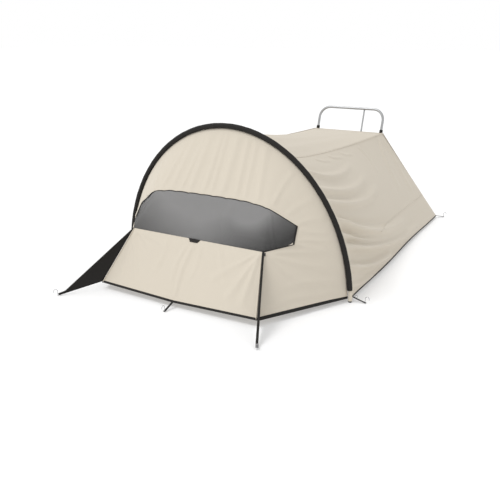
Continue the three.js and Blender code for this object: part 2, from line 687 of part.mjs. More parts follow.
function buildDeck() {
  const deckSling = sling(COT_HALF_WIDTH, TUBE_RADIUS, SLING_START, SLING_END);
  const outer = TUBE_RADIUS + SLING + SLIP_GAP;
  const notches = [
    [FRAME_JOINT - COUPLER_LENGTH / 2 - SLING_NOTCH_GAP, LEG_STATIONS.mid + SLING_NOTCH],
    [LEG_STATIONS.foot - SLING_NOTCH, BOW_PIVOT_Y + SLING_NOTCH],
  ].flatMap(([from, to]) => Object.values(SIDES).map((side) => (
    box(2 * outer + 6, to - from, 3 * outer, side * COT_HALF_WIDTH, (from + to) / 2, DECK_HEIGHT))));
  add('deck_sling', cut(deckSling, ...notches), slingCloth);

  const tube = sweep(new BentPath([
    vec(BACKREST_HALF_WIDTH, BACKREST_HINGE, DECK_HEIGHT), vec(BACKREST_HALF_WIDTH, BACKREST_END, DECK_HEIGHT),
    vec(-BACKREST_HALF_WIDTH, BACKREST_END, DECK_HEIGHT), vec(-BACKREST_HALF_WIDTH, BACKREST_HINGE, DECK_HEIGHT),
  ], BACKREST_CORNER), BACKREST_RADIUS, 8);
  const eyeAt = (side, radius, length) => (
    barX(radius, length, side * BACKREST_HALF_WIDTH, BACKREST_HINGE, DECK_HEIGHT));
  const bore = BACKREST_RADIUS + SLIP_GAP;
  const eyes = [1, -1].map((side) => eyeAt(side, bore + EYE_WALL, EYE_LENGTH));
  const bores = [1, -1].map((side) => eyeAt(side, bore, EYE_LENGTH + 2));
  add('backrest_frame', cut(join(tube, ...eyes), ...bores), aluminium);
  const cloth = sling(BACKREST_HALF_WIDTH, BACKREST_RADIUS, BACKREST_SLING_START, BACKREST_SLING_END);
  add('backrest_sling', cloth, slingCloth);
}

// ---- Folding legs -------------------------------------------------------------------------

const pivotHeight = DECK_HEIGHT - LEG_PIVOT_DROP;
const shoeRadius = LEG_RADIUS + SLIP_GAP + SHOE_WALL;

function legBracket() {
  const plateX = COT_HALF_WIDTH - TUBE_RADIUS - SLIP_GAP - BRACKET_PLATE / 2;
  const top = LEG_PIVOT_DROP + BRACKET_TOP;
  const bottom = -PIVOT_RADIUS - BRACKET_LIP;
  const plates = [1, -1].map((side) => (
    box(BRACKET_PLATE, BRACKET_LENGTH, top - bottom, side * plateX, 0, (top + bottom) / 2)));
  return join(barX(PIVOT_RADIUS, 2 * plateX, 0, 0, 0), ...plates);
}

function legLoop() {
  const bottom = shoeRadius - pivotHeight;
  const loop = sweep(new BentPath([
    vec(LEG_HALF_WIDTH, 0, 0), vec(LEG_HALF_WIDTH, 0, bottom),
    vec(-LEG_HALF_WIDTH, 0, bottom), vec(-LEG_HALF_WIDTH, 0, 0),
  ], LEG_CORNER), LEG_RADIUS, 8);
  const bore = PIVOT_RADIUS + SLIP_GAP;
  const eyes = [1, -1].map((side) => barX(bore + EYE_WALL, EYE_LENGTH, side * LEG_HALF_WIDTH, 0, 0));
  const bores = [1, -1].map((side) => barX(bore, EYE_LENGTH + 2, side * LEG_HALF_WIDTH, 0, 0));
  return cut(join(loop, ...eyes), ...bores);
}

function buildLegs() {
  for (const [name, station] of Object.entries(LEG_STATIONS)) {
    add(`${name}_leg_bracket`, legBracket(), aluminium).position.set(0, station, pivotHeight);
    add(`${name}_legs`, legLoop(), aluminium).position.set(0, station, pivotHeight);
    for (const [sideName, side] of Object.entries(SIDES)) {
      const shoe = ring(LEG_RADIUS + SLIP_GAP, shoeRadius, SHOE_LENGTH).rotateY(Math.PI / 2);
      add(`${name}_shoe_${sideName}`, shoe, rubber).position.set(side * SHOE_OFFSET, station, shoeRadius);
    }
  }
}

// ---- Foot bow -----------------------------------------------------------------------------

function buildBow() {
  const loop = sweep(new BentPath([
    vec(COT_HALF_WIDTH, 0, -BOW_TAIL), vec(COT_HALF_WIDTH, 0, BOW_LENGTH),
    vec(-COT_HALF_WIDTH, 0, BOW_LENGTH), vec(-COT_HALF_WIDTH, 0, -BOW_TAIL),
  ], BOW_CORNER), TUBE_RADIUS, 10);
  const bores = [1, -1].map((side) => (
    barX(BOW_PIN_RADIUS + SLIP_GAP, 2 * TUBE_RADIUS + 4, side * COT_HALF_WIDTH, 0, 0)));
  add('foot_bow', cut(loop, ...bores), aluminium, bowGroup);

  const crossbarAlong = cuffAlong - CROSSBAR_BELOW_CUFF;
  const crossbarLength = 2 * (COT_HALF_WIDTH - TUBE_RADIUS - SLIP_GAP);
  add('bow_crossbar', barX(CROSSBAR_RADIUS, crossbarLength, 0, 0, crossbarAlong), aluminium, bowGroup);

  const stayFrom = crossbarAlong + CROSSBAR_RADIUS + SLIP_GAP;
  const stayTo = BOW_LENGTH - TUBE_RADIUS - SLIP_GAP;
  const stay = new THREE.CylinderGeometry(STAY_RADIUS, STAY_RADIUS, stayTo - stayFrom, 12).rotateX(Math.PI / 2);
  add('bow_stay', stay, aluminium, bowGroup).position.set(STAY_OFFSET, 0, (stayFrom + stayTo) / 2);
}

// Two plates with a pin between them, astride the side tube.
function buildBowSaddles() {
  const plateOffset = TUBE_RADIUS + SLIP_GAP + SADDLE_PLATE / 2;
  const low = -TUBE_RADIUS;
  const high = BOW_PIVOT_RISE + BOW_PIN_RADIUS + SADDLE_LIP;
  for (const [name, side] of Object.entries(SIDES)) {
    const plates = [-1, 1].map((end) => (
      box(SADDLE_PLATE, SADDLE_LENGTH, high - low, end * plateOffset, 0, (high + low) / 2)));
    const pin = barX(BOW_PIN_RADIUS, 2 * plateOffset, 0, 0, BOW_PIVOT_RISE);
    const saddle = add(`bow_saddle_${name}`, join(pin, ...plates), aluminium);
    saddle.position.set(side * COT_HALF_WIDTH, BOW_PIVOT_Y, DECK_HEIGHT);
  }
}

// ---- Assembly -----------------------------------------------------------------------------

buildHoop();
buildFront();
buildFlapTab();
buildZipSliders();
buildRear();
buildCuffs();
buildGuys();
buildFrame();
buildDeck();
buildLegs();
buildBow();
buildBowSaddles();

// The origin is on the ground at the middle of the pitched shelter.
group.updateMatrixWorld(true);
const bounds = new THREE.Box3().setFromObject(group, true);
group.position.set(0, -(bounds.min.y + bounds.max.y) / 2, -bounds.min.z);
group.updateMatrixWorld(true);

export default group;
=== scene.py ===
import bpy
import math
import numpy as np
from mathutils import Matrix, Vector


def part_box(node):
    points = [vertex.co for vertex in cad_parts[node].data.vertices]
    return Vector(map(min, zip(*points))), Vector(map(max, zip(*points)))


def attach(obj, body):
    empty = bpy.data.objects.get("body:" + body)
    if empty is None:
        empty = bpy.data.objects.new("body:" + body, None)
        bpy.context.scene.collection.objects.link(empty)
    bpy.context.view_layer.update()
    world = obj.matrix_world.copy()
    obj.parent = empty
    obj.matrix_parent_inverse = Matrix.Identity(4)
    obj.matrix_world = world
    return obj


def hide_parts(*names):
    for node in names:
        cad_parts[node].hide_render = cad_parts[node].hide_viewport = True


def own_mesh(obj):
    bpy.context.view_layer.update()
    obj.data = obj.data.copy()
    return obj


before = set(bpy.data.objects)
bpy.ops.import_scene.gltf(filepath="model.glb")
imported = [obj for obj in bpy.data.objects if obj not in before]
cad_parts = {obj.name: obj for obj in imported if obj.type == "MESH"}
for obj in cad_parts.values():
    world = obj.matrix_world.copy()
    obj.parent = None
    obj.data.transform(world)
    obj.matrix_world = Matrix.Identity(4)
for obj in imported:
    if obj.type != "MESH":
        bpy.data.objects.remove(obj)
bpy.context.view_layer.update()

# ---- Camera --------------------------------------------------------------------------------
# Stands in front of the door to the right, a little above the hoop, and looks slightly down.
# The hoop's foot line is the place that the cover's points are measured from.
cup_low, cup_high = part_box("hoop_cup_right")
HOOP_Y = (cup_low.y + cup_high.y) / 2
HOOP_HALF_WIDTH = (cup_low.x + cup_high.x) / 2

CAMERA_LENS = 49.45
CAMERA_PLACE = (2.5145, HOOP_Y - 3.7822, 1.6341)
CAMERA_DIP = 17.562
CAMERA_TURN = 32.005

camera_data = bpy.data.cameras.new("camera")
camera_data.lens = CAMERA_LENS
camera_data.sensor_width = 36
camera = bpy.data.objects.new("camera", camera_data)
camera.location = CAMERA_PLACE
camera.rotation_euler = (math.radians(90 - CAMERA_DIP), 0, math.radians(CAMERA_TURN))
bpy.context.collection.objects.link(camera)
bpy.context.scene.camera = camera


# ---- Studio --------------------------------------------------------------------------------
# A pale floor under a bright, even sky, with one very soft lamp high in front to the left, which
# grazes the right wall, so that the folds of the cloth have a light and a shaded side.
FLOOR_HALF = 60
FLOOR_GREY = 0.70
FLOOR_GLOW = 0.30
SKY_ABOVE = 0.78
SKY_TURNS_AT = (0.10, 0.35)
SUN_STRENGTH = 1.2
SUN_SPREAD = 24
SUN_TILT = 31
SUN_TURN = -42


def principled(name, roughness, metallic=0.0):
    """A new material and its shader, with the two plain values set."""
    material = bpy.data.materials.new(name)
    material.use_nodes = True
    shader = material.node_tree.nodes["Principled BSDF"]
    shader.inputs["Roughness"].default_value = roughness
    shader.inputs["Metallic"].default_value = metallic
    return material, shader


def mesh_object(name, points, faces, material):
    mesh = bpy.data.meshes.new(name)
    mesh.from_pydata([tuple(map(float, point)) for point in points], [], faces)
    mesh.materials.append(material)
    piece = bpy.data.objects.new(name, mesh)
    bpy.context.collection.objects.link(piece)
    return piece


floor_paint, floor_shader = principled("floor_paint", 0.9)
floor_shader.inputs["Base Color"].default_value = (FLOOR_GREY, FLOOR_GREY, FLOOR_GREY, 1)
floor_shader.inputs["Emission Color"].default_value = (1, 1, 1, 1)
floor_shader.inputs["Emission Strength"].default_value = FLOOR_GLOW
floor_corners = [(-FLOOR_HALF, -FLOOR_HALF, 0), (FLOOR_HALF, -FLOOR_HALF, 0),
                 (FLOOR_HALF, FLOOR_HALF, 0), (-FLOOR_HALF, FLOOR_HALF, 0)]
floor = mesh_object("floor", floor_corners, [(0, 1, 2, 3)], floor_paint)

# The sky is white at the horizon, so that the floor meets it without a line, and softer above.
world = bpy.data.worlds.new("sky")
world.use_nodes = True
sky = world.node_tree
direction = sky.nodes.new("ShaderNodeTexCoord")
height = sky.nodes.new("ShaderNodeSeparateXYZ")
ramp = sky.nodes.new("ShaderNodeMapRange")
ramp.inputs["From Min"].default_value, ramp.inputs["From Max"].default_value = SKY_TURNS_AT
ramp.inputs["To Min"].default_value = 1.0
ramp.inputs["To Max"].default_value = SKY_ABOVE
sky.links.new(direction.outputs["Generated"], height.inputs[0])
sky.links.new(height.outputs["Z"], ramp.inputs["Value"])
sky.links.new(ramp.outputs[0], sky.nodes["Background"].inputs["Strength"])
sky.nodes["Background"].inputs["Color"].default_value = (1, 1, 1, 1)
bpy.context.scene.world = world
bpy.context.scene.view_settings.view_transform = "Standard"

soft_sun = bpy.data.lights.new("soft_sun", "SUN")
soft_sun.energy = SUN_STRENGTH
soft_sun.angle = math.radians(SUN_SPREAD)
sun = bpy.data.objects.new("soft_sun", soft_sun)
sun.rotation_euler = (math.radians(SUN_TILT), 0, math.radians(SUN_TURN))
bpy.context.collection.objects.link(sun)


# ---- Canvas --------------------------------------------------------------------------------
# The cover is sewn from a tightly woven, proofed cotton mix in a warm sand colour. It is matt,
# with a fine plain weave, and its colour drifts a little from place to place.
CANVAS_COLOUR = (0.655, 0.597, 0.505, 1)
CANVAS_SHADE = (0.607, 0.549, 0.457, 1)
CANVAS_THREAD = 0.0011
CLOTH_THICKNESS = 0.0012


def new_group(name, inputs, outputs):
    """An empty node group with its sockets made, and its two end nodes."""
    group = bpy.data.node_groups.new(name, "ShaderNodeTree")
    for label, kind, value in inputs:
        socket = group.interface.new_socket(label, in_out="INPUT", socket_type=kind)
        if value is not None:
            socket.default_value = value
    for label, kind in outputs:
        group.interface.new_socket(label, in_out="OUTPUT", socket_type=kind)
    return group, group.nodes.new("NodeGroupInput"), group.nodes.new("NodeGroupOutput")


def math_node(tree, operation, first, second=None):
    node = tree.nodes.new("ShaderNodeMath")
    node.operation = operation
    for socket, value in zip(node.inputs, (first, second)):
        if value is None:
            continue
        if isinstance(value, (int, float)):
            socket.default_value = value
        else:
            tree.links.new(value, socket)
    return node.outputs[0]


def mix_colour(tree, factor, first, second):
    node = tree.nodes.new("ShaderNodeMix")
    node.data_type = "RGBA"
    tree.links.new(factor, node.inputs["Factor"])
    for socket, value in ((node.inputs[6], first), (node.inputs[7], second)):
        if isinstance(value, tuple):
            socket.default_value = value
        else:
            tree.links.new(value, socket)
    return node.outputs[2]


def noise(tree, vector, scale, detail=3.0):
    node = tree.nodes.new("ShaderNodeTexNoise")
    node.inputs["Detail"].default_value = detail
    tree.links.new(vector, node.inputs["Vector"])
    if isinstance(scale, (int, float)):
        node.inputs["Scale"].default_value = scale
    else:
        tree.links.new(scale, node.inputs["Scale"])
    return node.outputs["Fac"]


def add_relief(tree, shader, height, strength, distance):
    """Lets a height shape the way that light falls on a surface."""
    bump = tree.nodes.new("ShaderNodeBump")
    bump.inputs["Strength"].default_value = strength
    bump.inputs["Distance"].default_value = distance
    tree.links.new(height, bump.inputs["Height"])
    tree.links.new(bump.outputs["Normal"], shader.inputs["Normal"])


def weave_group():
    """A plain weave over the piece's own cloth map, which is laid out in metres."""
    group, inlet, outlet = new_group(
        "plain_weave",
        [("Cloth Map", "NodeSocketVector", None), ("Thread", "NodeSocketFloat", 0.001),
         ("Colour", "NodeSocketColor", (0.5, 0.5, 0.5, 1)),
         ("Shade", "NodeSocketColor", (0.4, 0.4, 0.4, 1))],
        [("Colour", "NodeSocketColor"), ("Height", "NodeSocketFloat"), ("Open", "NodeSocketFloat")],
    )
    links = group.links
    split = group.nodes.new("ShaderNodeSeparateXYZ")
    links.new(inlet.outputs["Cloth Map"], split.inputs[0])
    per_metre = math_node(group, "DIVIDE", math.pi, inlet.outputs["Thread"])
    warp = math_node(group, "SINE", math_node(group, "MULTIPLY", split.outputs["X"], per_metre))
    weft = math_node(group, "SINE", math_node(group, "MULTIPLY", split.outputs["Y"], per_metre))
    crossing = math_node(group, "MULTIPLY", warp, weft)
    height = math_node(group, "MULTIPLY_ADD", crossing, 0.5)
    height.node.inputs[2].default_value = 0.5
    warp_thread = math_node(group, "ABSOLUTE", warp)
    weft_thread = math_node(group, "ABSOLUTE", weft)
    links.new(math_node(group, "MINIMUM", warp_thread, weft_thread), outlet.inputs["Open"])
    drift = noise(group, inlet.outputs["Cloth Map"], 3.1, 4.0)
    slub = noise(group, inlet.outputs["Cloth Map"], 160.0, 2.0)
    threads = math_node(group, "MULTIPLY", height, 0.12)
    patches = math_node(group, "MULTIPLY", math_node(group, "ADD", drift, slub), 0.42)
    blend = math_node(group, "ADD", threads, patches)
    colour = mix_colour(group, blend, inlet.outputs["Colour"], inlet.outputs["Shade"])
    links.new(colour, outlet.inputs["Colour"])
    links.new(height, outlet.inputs["Height"])
    return group


plain_weave = weave_group()


def cloth_finish(name, colour, shade, thread, roughness, sheen, relief):
    """A woven cloth: thread gives the size of its weave, and relief the height of its creases."""
    material, shader = principled(name, roughness)
    tree = material.node_tree
    shader.inputs["Sheen Weight"].default_value = sheen
    shader.inputs["Sheen Roughness"].default_value = 0.5
    shader.inputs["Specular IOR Level"].default_value = 0.25
    cloth_map = tree.nodes.new("ShaderNodeUVMap")
    cloth_map.uv_map = "cloth"
    weave = tree.nodes.new("ShaderNodeGroup")
    weave.node_tree = plain_weave
    tree.links.new(cloth_map.outputs[0], weave.inputs["Cloth Map"])
    weave.inputs["Thread"].default_value = thread
    weave.inputs["Colour"].default_value = colour
    weave.inputs["Shade"].default_value = shade
    tree.links.new(weave.outputs["Colour"], shader.inputs["Base Color"])
    crinkle = noise(tree, cloth_map.outputs[0], 26.0, 3.0)
    height = math_node(tree, "ADD", math_node(tree, "MULTIPLY", weave.outputs["Height"], 0.12), crinkle)
    add_relief(tree, shader, height, 0.5, relief)
    return material


canvas = cloth_finish("cover_canvas", CANVAS_COLOUR, CANVAS_SHADE, CANVAS_THREAD, 0.85, 0.12, 0.0012)


# ---- Cover, front --------------------------------------------------------------------------
# The front is one piece from ground to ground round the mesh window, sewn to the pole sleeve
# along the hoop. It is cut a little full: soft upright folds gather under the hoop, faint ones
# run out of the window's corners, and its top edge is drawn up in small scallops.
POLE_RADIUS = 0.005
HOOP_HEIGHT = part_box("hoop_pole")[1].z - POLE_RADIUS
HOOP_LEAN = 0.051
SLEEVE_RADIUS = 0.0172
PANEL_INSET = SLEEVE_RADIUS + 0.0004
FACE_SEAM_ANGLE = 1.17
COLUMN_STEPS = 20
WINDOW_HALF = [(0.0, -0.280, 0.640), (0.150, -0.280, 0.639), (0.300, -0.278, 0.634),
               (0.437, -0.277, 0.614), (0.487, -0.262, 0.592), (0.556, -0.234, 0.549),
               (0.617, -0.205, 0.508)]
SCALLOPS = 9
SCALLOP_DEPTH = 0.0045
FRONT_ROWS = 64
FRONT_ROUNDS = 90
EDGE_REACH = 0.02
MIRROR = np.array([-1.0, 1.0, 1.0])
SIDES = {"right": np.ones(3), "left": MIRROR}


def at(x, y, z):
    """A place measured from the middle of the hoop's foot line."""
    return np.array([x, y + HOOP_Y, z])


def hoop_point(angle, shrink=0.0, back=0.0):
    """A point on the hoop, shrunk towards its middle and pushed back if asked."""
    return at((HOOP_HALF_WIDTH - shrink) * math.cos(angle), back - HOOP_LEAN * math.sin(angle),
              (HOOP_HEIGHT - shrink) * math.sin(angle))


def straight(points, steps):
    """Points along straight runs, with a number of steps on each."""
    rows = [np.array(points[0])]
    for start, end, count in zip(points, points[1:], steps):
        rows += [start + (end - start) * k / count for k in range(1, count + 1)]
    return np.array(rows)


def curved(points, steps):
    """A smooth curve through the points, with a number of steps between neighbours."""
    points = np.array(points, float)
    held = np.vstack([2 * points[0] - points[1], points, 2 * points[-1] - points[-2]])
    rows = [points[0]]
    for before, start, end, after in zip(held, held[1:], held[2:], held[3:]):
        for t in np.arange(1, steps + 1) / steps:
            rows.append(0.5 * (2 * start + (end - before) * t
                               + (2 * before - 5 * start + 4 * end - after) * t ** 2
                               + (3 * start - before - 3 * end + after) * t ** 3))
    return np.array(rows)


def ruled(first, last, rows):
    """A grid of points on straight lines from one edge to the other."""
    share = np.linspace(0, 1, rows)[None, :, None]
    return first[:, None, :] * (1 - share) + last[:, None, :] * share


def tension(grid, rounds):
    """Pulls the inside of a grid tight between its four edges."""
    for _ in range(rounds):
        grid[1:-1, 1:-1] = (grid[:-2, 1:-1] + grid[2:, 1:-1] + grid[1:-1, :-2] + grid[1:-1, 2:]) / 4
    return grid


def grid_normals(grid, outward):
    normals = np.cross(np.gradient(grid, axis=0), np.gradient(grid, axis=1))
    normals /= np.linalg.norm(normals, axis=2, keepdims=True) + 1e-12
    return normals if (normals @ np.array(outward, float)).mean() > 0 else -normals


def lengths_along(line):
    """How far along a line each of its points lies."""
    return np.concatenate([[0], np.cumsum(np.linalg.norm(np.diff(line, axis=0), axis=1))])


def on_grid(grid, u, v):
    """The point at shares u and v of a grid's columns and rows."""
    i = u * (grid.shape[0] - 1)
    j = v * (grid.shape[1] - 1)
    i0, j0 = min(int(i), grid.shape[0] - 2), min(int(j), grid.shape[1] - 2)
    a, b = i - i0, j - j0
    return ((grid[i0, j0] * (1 - a) + grid[i0 + 1, j0] * a) * (1 - b)
            + (grid[i0, j0 + 1] * (1 - a) + grid[i0 + 1, j0 + 1] * a) * b)


def fold_relief(grid, folds):
    """How far each point is lifted by folds. A fold has a path of shares of the panel, its
    width at both ends and its height at both ends."""
    points = grid.reshape(-1, 3)
    lift = np.zeros(len(points))
    for path, widths, heights in folds:
        line = curved([on_grid(grid, u, v) for u, v in path], 5)
        marks = lengths_along(line)
        marks /= marks[-1]
        nearest = np.full(len(points), 1e9)
        share = np.zeros(len(points))
        for start, end, low, high in zip(line, line[1:], marks, marks[1:]):
            run = end - start
            t = np.clip((points - start) @ run / (run @ run), 0, 1)
            away = np.linalg.norm(points - start - t[:, None] * run, axis=1)
            closer = away < nearest
            nearest[closer] = away[closer]
            share[closer] = (low + (high - low) * t)[closer]
        width = widths[0] + (widths[1] - widths[0]) * share
        height = heights[0] + (heights[1] - heights[0]) * share
        ends = np.clip(share / 0.1, 0, 1) * np.clip((1 - share) / 0.12, 0, 1)
        reach = nearest / width
        lift += height * ends * (np.exp(-reach ** 2) - 0.4 * np.exp(-reach ** 2 / 4)) / 0.6
    return lift.reshape(grid.shape[:2])


def edge_fade(grid, reach):
    """Nought on a panel's four edges, rising to one a little way in."""
    def ramp(line):
        along = lengths_along(line)
        inside = np.minimum(along, along[-1] - along) / reach
        return np.clip(inside, 0, 1) ** 0.7

    across = ramp(grid[:, grid.shape[1] // 2])
    along = ramp(grid[grid.shape[0] // 2])
    return across[:, None] * along[None, :]


def smooth_faces(piece):
    piece.data.polygons.foreach_set("use_smooth", [True] * len(piece.data.polygons))


def cloth_map(piece, coordinates):
    """Lays a piece's cloth map, in metres, from one pair of values for each of its points."""
    layer = piece.data.uv_layers.new(name="cloth")
    corners = np.empty(len(piece.data.loops), int)
    piece.data.loops.foreach_get("vertex_index", corners)
    layer.data.foreach_set("uv", np.asarray(coordinates, float)[corners].ravel())


def applied(piece):
    """Turns a piece with live modifiers into a plain mesh."""
    final = bpy.data.meshes.new_from_object(piece.evaluated_get(bpy.context.evaluated_depsgraph_get()))
    piece.modifiers.clear()
    piece.data = final
    return piece


def thickened(piece, thickness):
    wall = piece.modifiers.new("wall", "SOLIDIFY")
    wall.thickness = thickness
    wall.offset = -1
    wall.use_rim = True
    bpy.context.view_layer.update()
    return applied(piece)


def cloth_from_grid(name, grid, outward, material, thickness=CLOTH_THICKNESS, keep=None):
    """A sheet of cloth over a grid of points, with its wall on the inner side. keep says which
    of the grid's faces are cut away, where not all are wanted."""
    columns, rows = grid.shape[:2]
    normals = np.cross(np.gradient(grid, axis=0), np.gradient(grid, axis=1))
    flip = (normals @ np.array(outward, float)).mean() < 0
    faces = []
    for i in range(columns - 1):
        for j in range(rows - 1):
            if keep is not None and not keep[i, j]:
                continue
            face = (i * rows + j, (i + 1) * rows + j, (i + 1) * rows + j + 1, i * rows + j + 1)
            faces.append(face[::-1] if flip else face)
    piece = mesh_object(name, grid.reshape(-1, 3), faces, material)
    u = lengths_along(grid[:, rows // 2])
    v = lengths_along(grid[columns // 2])
    pairs = np.stack(np.meshgrid(u, v, indexing="ij"), axis=-1).reshape(-1, 2)
    cloth_map(piece, pairs)
    smooth_faces(piece)
    return thickened(piece, thickness)


def goes_down_with_cot(piece):
    """Gives the piece a mesh of its own."""
    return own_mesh(piece)


def placed(piece, body, slot, *nodes):
    """Puts a piece on its body and hides the solids that it stands for. slot is not used."""
    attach(piece, body)
    if nodes:
        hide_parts(*nodes)
    return piece


def cover_piece(piece, body, slot, *nodes):
    """Places a soft piece of the cover and gives it a mesh of its own."""
    return goes_down_with_cot(placed(piece, body, slot, *nodes))


window_points = [at(*point) for point in WINDOW_HALF]
window_points = [point * MIRROR for point in window_points[:0:-1]] + window_points
window_upper = curved(window_points, COLUMN_STEPS)
face_first, face_last = 3 * COLUMN_STEPS, 9 * COLUMN_STEPS
scallop = np.abs(np.sin(np.linspace(0, SCALLOPS * math.pi, face_last - face_first + 1)))
window_upper[face_first:face_last + 1, 2] += SCALLOP_DEPTH * (scallop ** 0.6 - 0.5)

FRONT_CORNER = at(0.605, -0.648, 0.051)
FLAP_TOP = at(0.506, -0.422, 0.382)
WINDOW_END = at(0.627, -0.265, 0.407)
FRONT_HEM_HEIGHT = 0.033
HOOP_HEM_ANGLE = math.asin(FRONT_HEM_HEIGHT / HOOP_HEIGHT)
SIDE_ANGLES = [HOOP_HEM_ANGLE, 0.287, 0.44, 0.6, 0.75, 0.93, FACE_SEAM_ANGLE]
SIDE_STEPS = [28, 21, 12, COLUMN_STEPS, COLUMN_STEPS, COLUMN_STEPS]
# Folds of one side: u runs up the front edge from the ground, v back to the hoop
SIDE_FOLDS = [
    ([(0.23, 0.04), (0.20, 0.4), (0.17, 0.8)], (0.012, 0.03), (0.004, 0.003)),
    ([(0.23, 0.04), (0.14, 0.35), (0.08, 0.7)], (0.012, 0.03), (0.004, 0.002)),
    ([(0.25, 0.04), (0.27, 0.4), (0.27, 0.85)], (0.012, 0.028), (0.0035, 0.003)),
    ([(0.39, 0.10), (0.33, 0.4), (0.29, 0.8)], (0.011, 0.026), (0.0035, 0.003)),
    ([(0.41, 0.10), (0.38, 0.45), (0.35, 0.9)], (0.011, 0.024), (0.0035, 0.003)),
    ([(0.49, 0.10), (0.44, 0.4), (0.40, 0.85)], (0.014, 0.026), (0.003, 0.0025)),
    ([(0.54, 0.08), (0.51, 0.5), (0.48, 0.9)], (0.016, 0.026), (0.003, 0.002)),
    ([(0.70, 0.08), (0.66, 0.5), (0.62, 0.9)], (0.018, 0.026), (0.003, 0.002)),
    ([(0.90, 0.08), (0.87, 0.5), (0.84, 0.92)], (0.016, 0.022), (0.004, 0.003)),
    ([(0.04, 0.1), (0.05, 0.5), (0.04, 0.92)], (0.018, 0.018), (0.003, 0.003)),
    ([(0.10, 0.25), (0.11, 0.6), (0.10, 0.95)], (0.02, 0.02), (0.0025, 0.003)),
]
# Upright folds of the face: place across it, lean, width, height
FACE_FOLDS = [(0.07, 0.02, 0.018, 0.004), (0.17, 0.00, 0.022, 0.005), (0.26, 0.03, 0.015, 0.004),
              (0.34, 0.01, 0.024, 0.007), (0.46, 0.02, 0.018, 0.005), (0.53, 0.00, 0.014, 0.004),
              (0.62, 0.03, 0.026, 0.008), (0.74, 0.01, 0.018, 0.006), (0.81, 0.03, 0.015, 0.004),
              (0.92, 0.02, 0.022, 0.006)]

shoulder = window_upper[face_last:][::-1]
side_corners = [FRONT_CORNER, FLAP_TOP, WINDOW_END, window_upper[-1]]
side_edge = np.vstack([straight(side_corners, SIDE_STEPS[:3]), shoulder[1:]])
side_columns = len(side_edge) - 1
side_marks = np.concatenate([[0], np.cumsum(SIDE_STEPS)])
side_angles = np.interp(np.arange(side_columns + 1), side_marks, SIDE_ANGLES)
face_angles = np.linspace(FACE_SEAM_ANGLE, math.pi - FACE_SEAM_ANGLE, face_last - face_first + 1)
front_angles = np.concatenate([side_angles, face_angles[1:], math.pi - side_angles[::-1][1:]])
face_edge = window_upper[face_first:face_last][::-1]
front_edge = np.vstack([side_edge, face_edge, (side_edge * MIRROR)[::-1][1:]])
front_hoop = np.array([hoop_point(angle, PANEL_INSET) for angle in front_angles])
front_grid = tension(ruled(front_edge, front_hoop, FRONT_ROWS), FRONT_ROUNDS)
front_columns = len(front_edge) - 1


def on_side(u):
    return u * side_columns / front_columns


front_folds = []
for path, widths, heights in SIDE_FOLDS:
    front_folds.append(([(on_side(u), v) for u, v in path], widths, heights))
    front_folds.append(([(1 - on_side(u), v) for u, v in path], widths, heights))
face_share = (face_last - face_first) / front_columns
for place, lean, width, height in FACE_FOLDS:
    start = on_side(1) + (1 - place) * face_share
    path = [(start - lean * face_share * v, v) for v in (0.01, 0.5, 0.97)]
    front_folds.append((path, (width, 1.3 * width), (height, 0.7 * height)))
front_outward = (0, -0.9, 0.3)
front_relief = fold_relief(front_grid, front_folds) * edge_fade(front_grid, EDGE_REACH)
front_grid += grid_normals(front_grid, front_outward) * front_relief[..., None]
cover_front = cloth_from_grid("cover_front", front_grid, front_outward, canvas)
cover_piece(cover_front, "shelter", "cover_canvas", "canopy_face", "canopy_side_right",
            "canopy_side_left")
side_grid = front_grid[:side_columns + 1]
side_outward = (0.6, -0.7, 0.3)


# ---- Webbing and trim ----------------------------------------------------------------------
# Hems, bindings, the pole sleeve, wings and straps are black polyester, woven coarser than the
# canvas. Flat strips are sewn on along the edges, so one function lays them all.
TRIM_COLOUR = (0.0105, 0.0095, 0.0085, 1)
TRIM_SHADE = (0.020, 0.018, 0.016, 1)
STRIP_PROFILE = [(-0.5, 0.1), (-0.46, 0.42), (-0.3, 0.5), (0.3, 0.5), (0.46, 0.42), (0.5, 0.1),
                 (0.5, -0.1), (0.46, -0.42), (0.3, -0.5), (-0.3, -0.5), (-0.46, -0.42), (-0.5, -0.1)]
TUBE_SIDES = 20

black_cloth = cloth_finish("black_cloth", TRIM_COLOUR, TRIM_SHADE, 0.0016, 0.7, 0.02, 0.0012)


def spaced(line, spacing):
    """The same line, with its points at even distances."""
    line = np.asarray(line, float)
    lengths = lengths_along(line)
    marks = np.linspace(0, lengths[-1], max(int(round(lengths[-1] / spacing)), 2) + 1)
    return np.stack([np.interp(marks, lengths, line[:, k]) for k in range(3)], axis=1)


def directions(line):
    along = np.gradient(line, axis=0)
    return along / (np.linalg.norm(along, axis=1, keepdims=True) + 1e-12)


def enclosed(points, faces):
    """The space inside a closed skin, which is below nought where its faces point inwards."""
    points = np.asarray(points)
    total = 0.0
    for face in faces:
        for second, third in zip(face[1:], face[2:]):
            total += points[face[0]] @ np.cross(points[second], points[third])
    return total


def swept(name, line, first_axes, second_axes, profiles, material):
    """A closed skin of sections set along a line. Each section's points are pairs of
    distances along the two axes there."""
    count, sides = len(line), len(profiles[0])
    points = []
    for place, first, second, profile in zip(line, first_axes, second_axes, profiles):
        points += [place + a * first + b * second for a, b in profile]
    points += [line[0], line[-1]]
    faces = []
    for i in range(count - 1):
        for j in range(sides):
            k = (j + 1) % sides
            faces.append((i * sides + j, i * sides + k, (i + 1) * sides + k, (i + 1) * sides + j))
    last = (count - 1) * sides
    for j in range(sides):
        k = (j + 1) % sides
        faces.append((count * sides, k, j))
        faces.append((count * sides + 1, last + j, last + k))
    if enclosed(points, faces) < 0:
        faces = [face[::-1] for face in faces]
    piece = mesh_object(name, points, faces, material)
    lengths = lengths_along(line)
    round_it = lengths_along(profiles[0])
    pairs = [(round_it[j], lengths[i]) for i in range(count) for j in range(sides)]
    cloth_map(piece, pairs + [(0, 0), (0, lengths[-1])])
    smooth_faces(piece)
    return piece


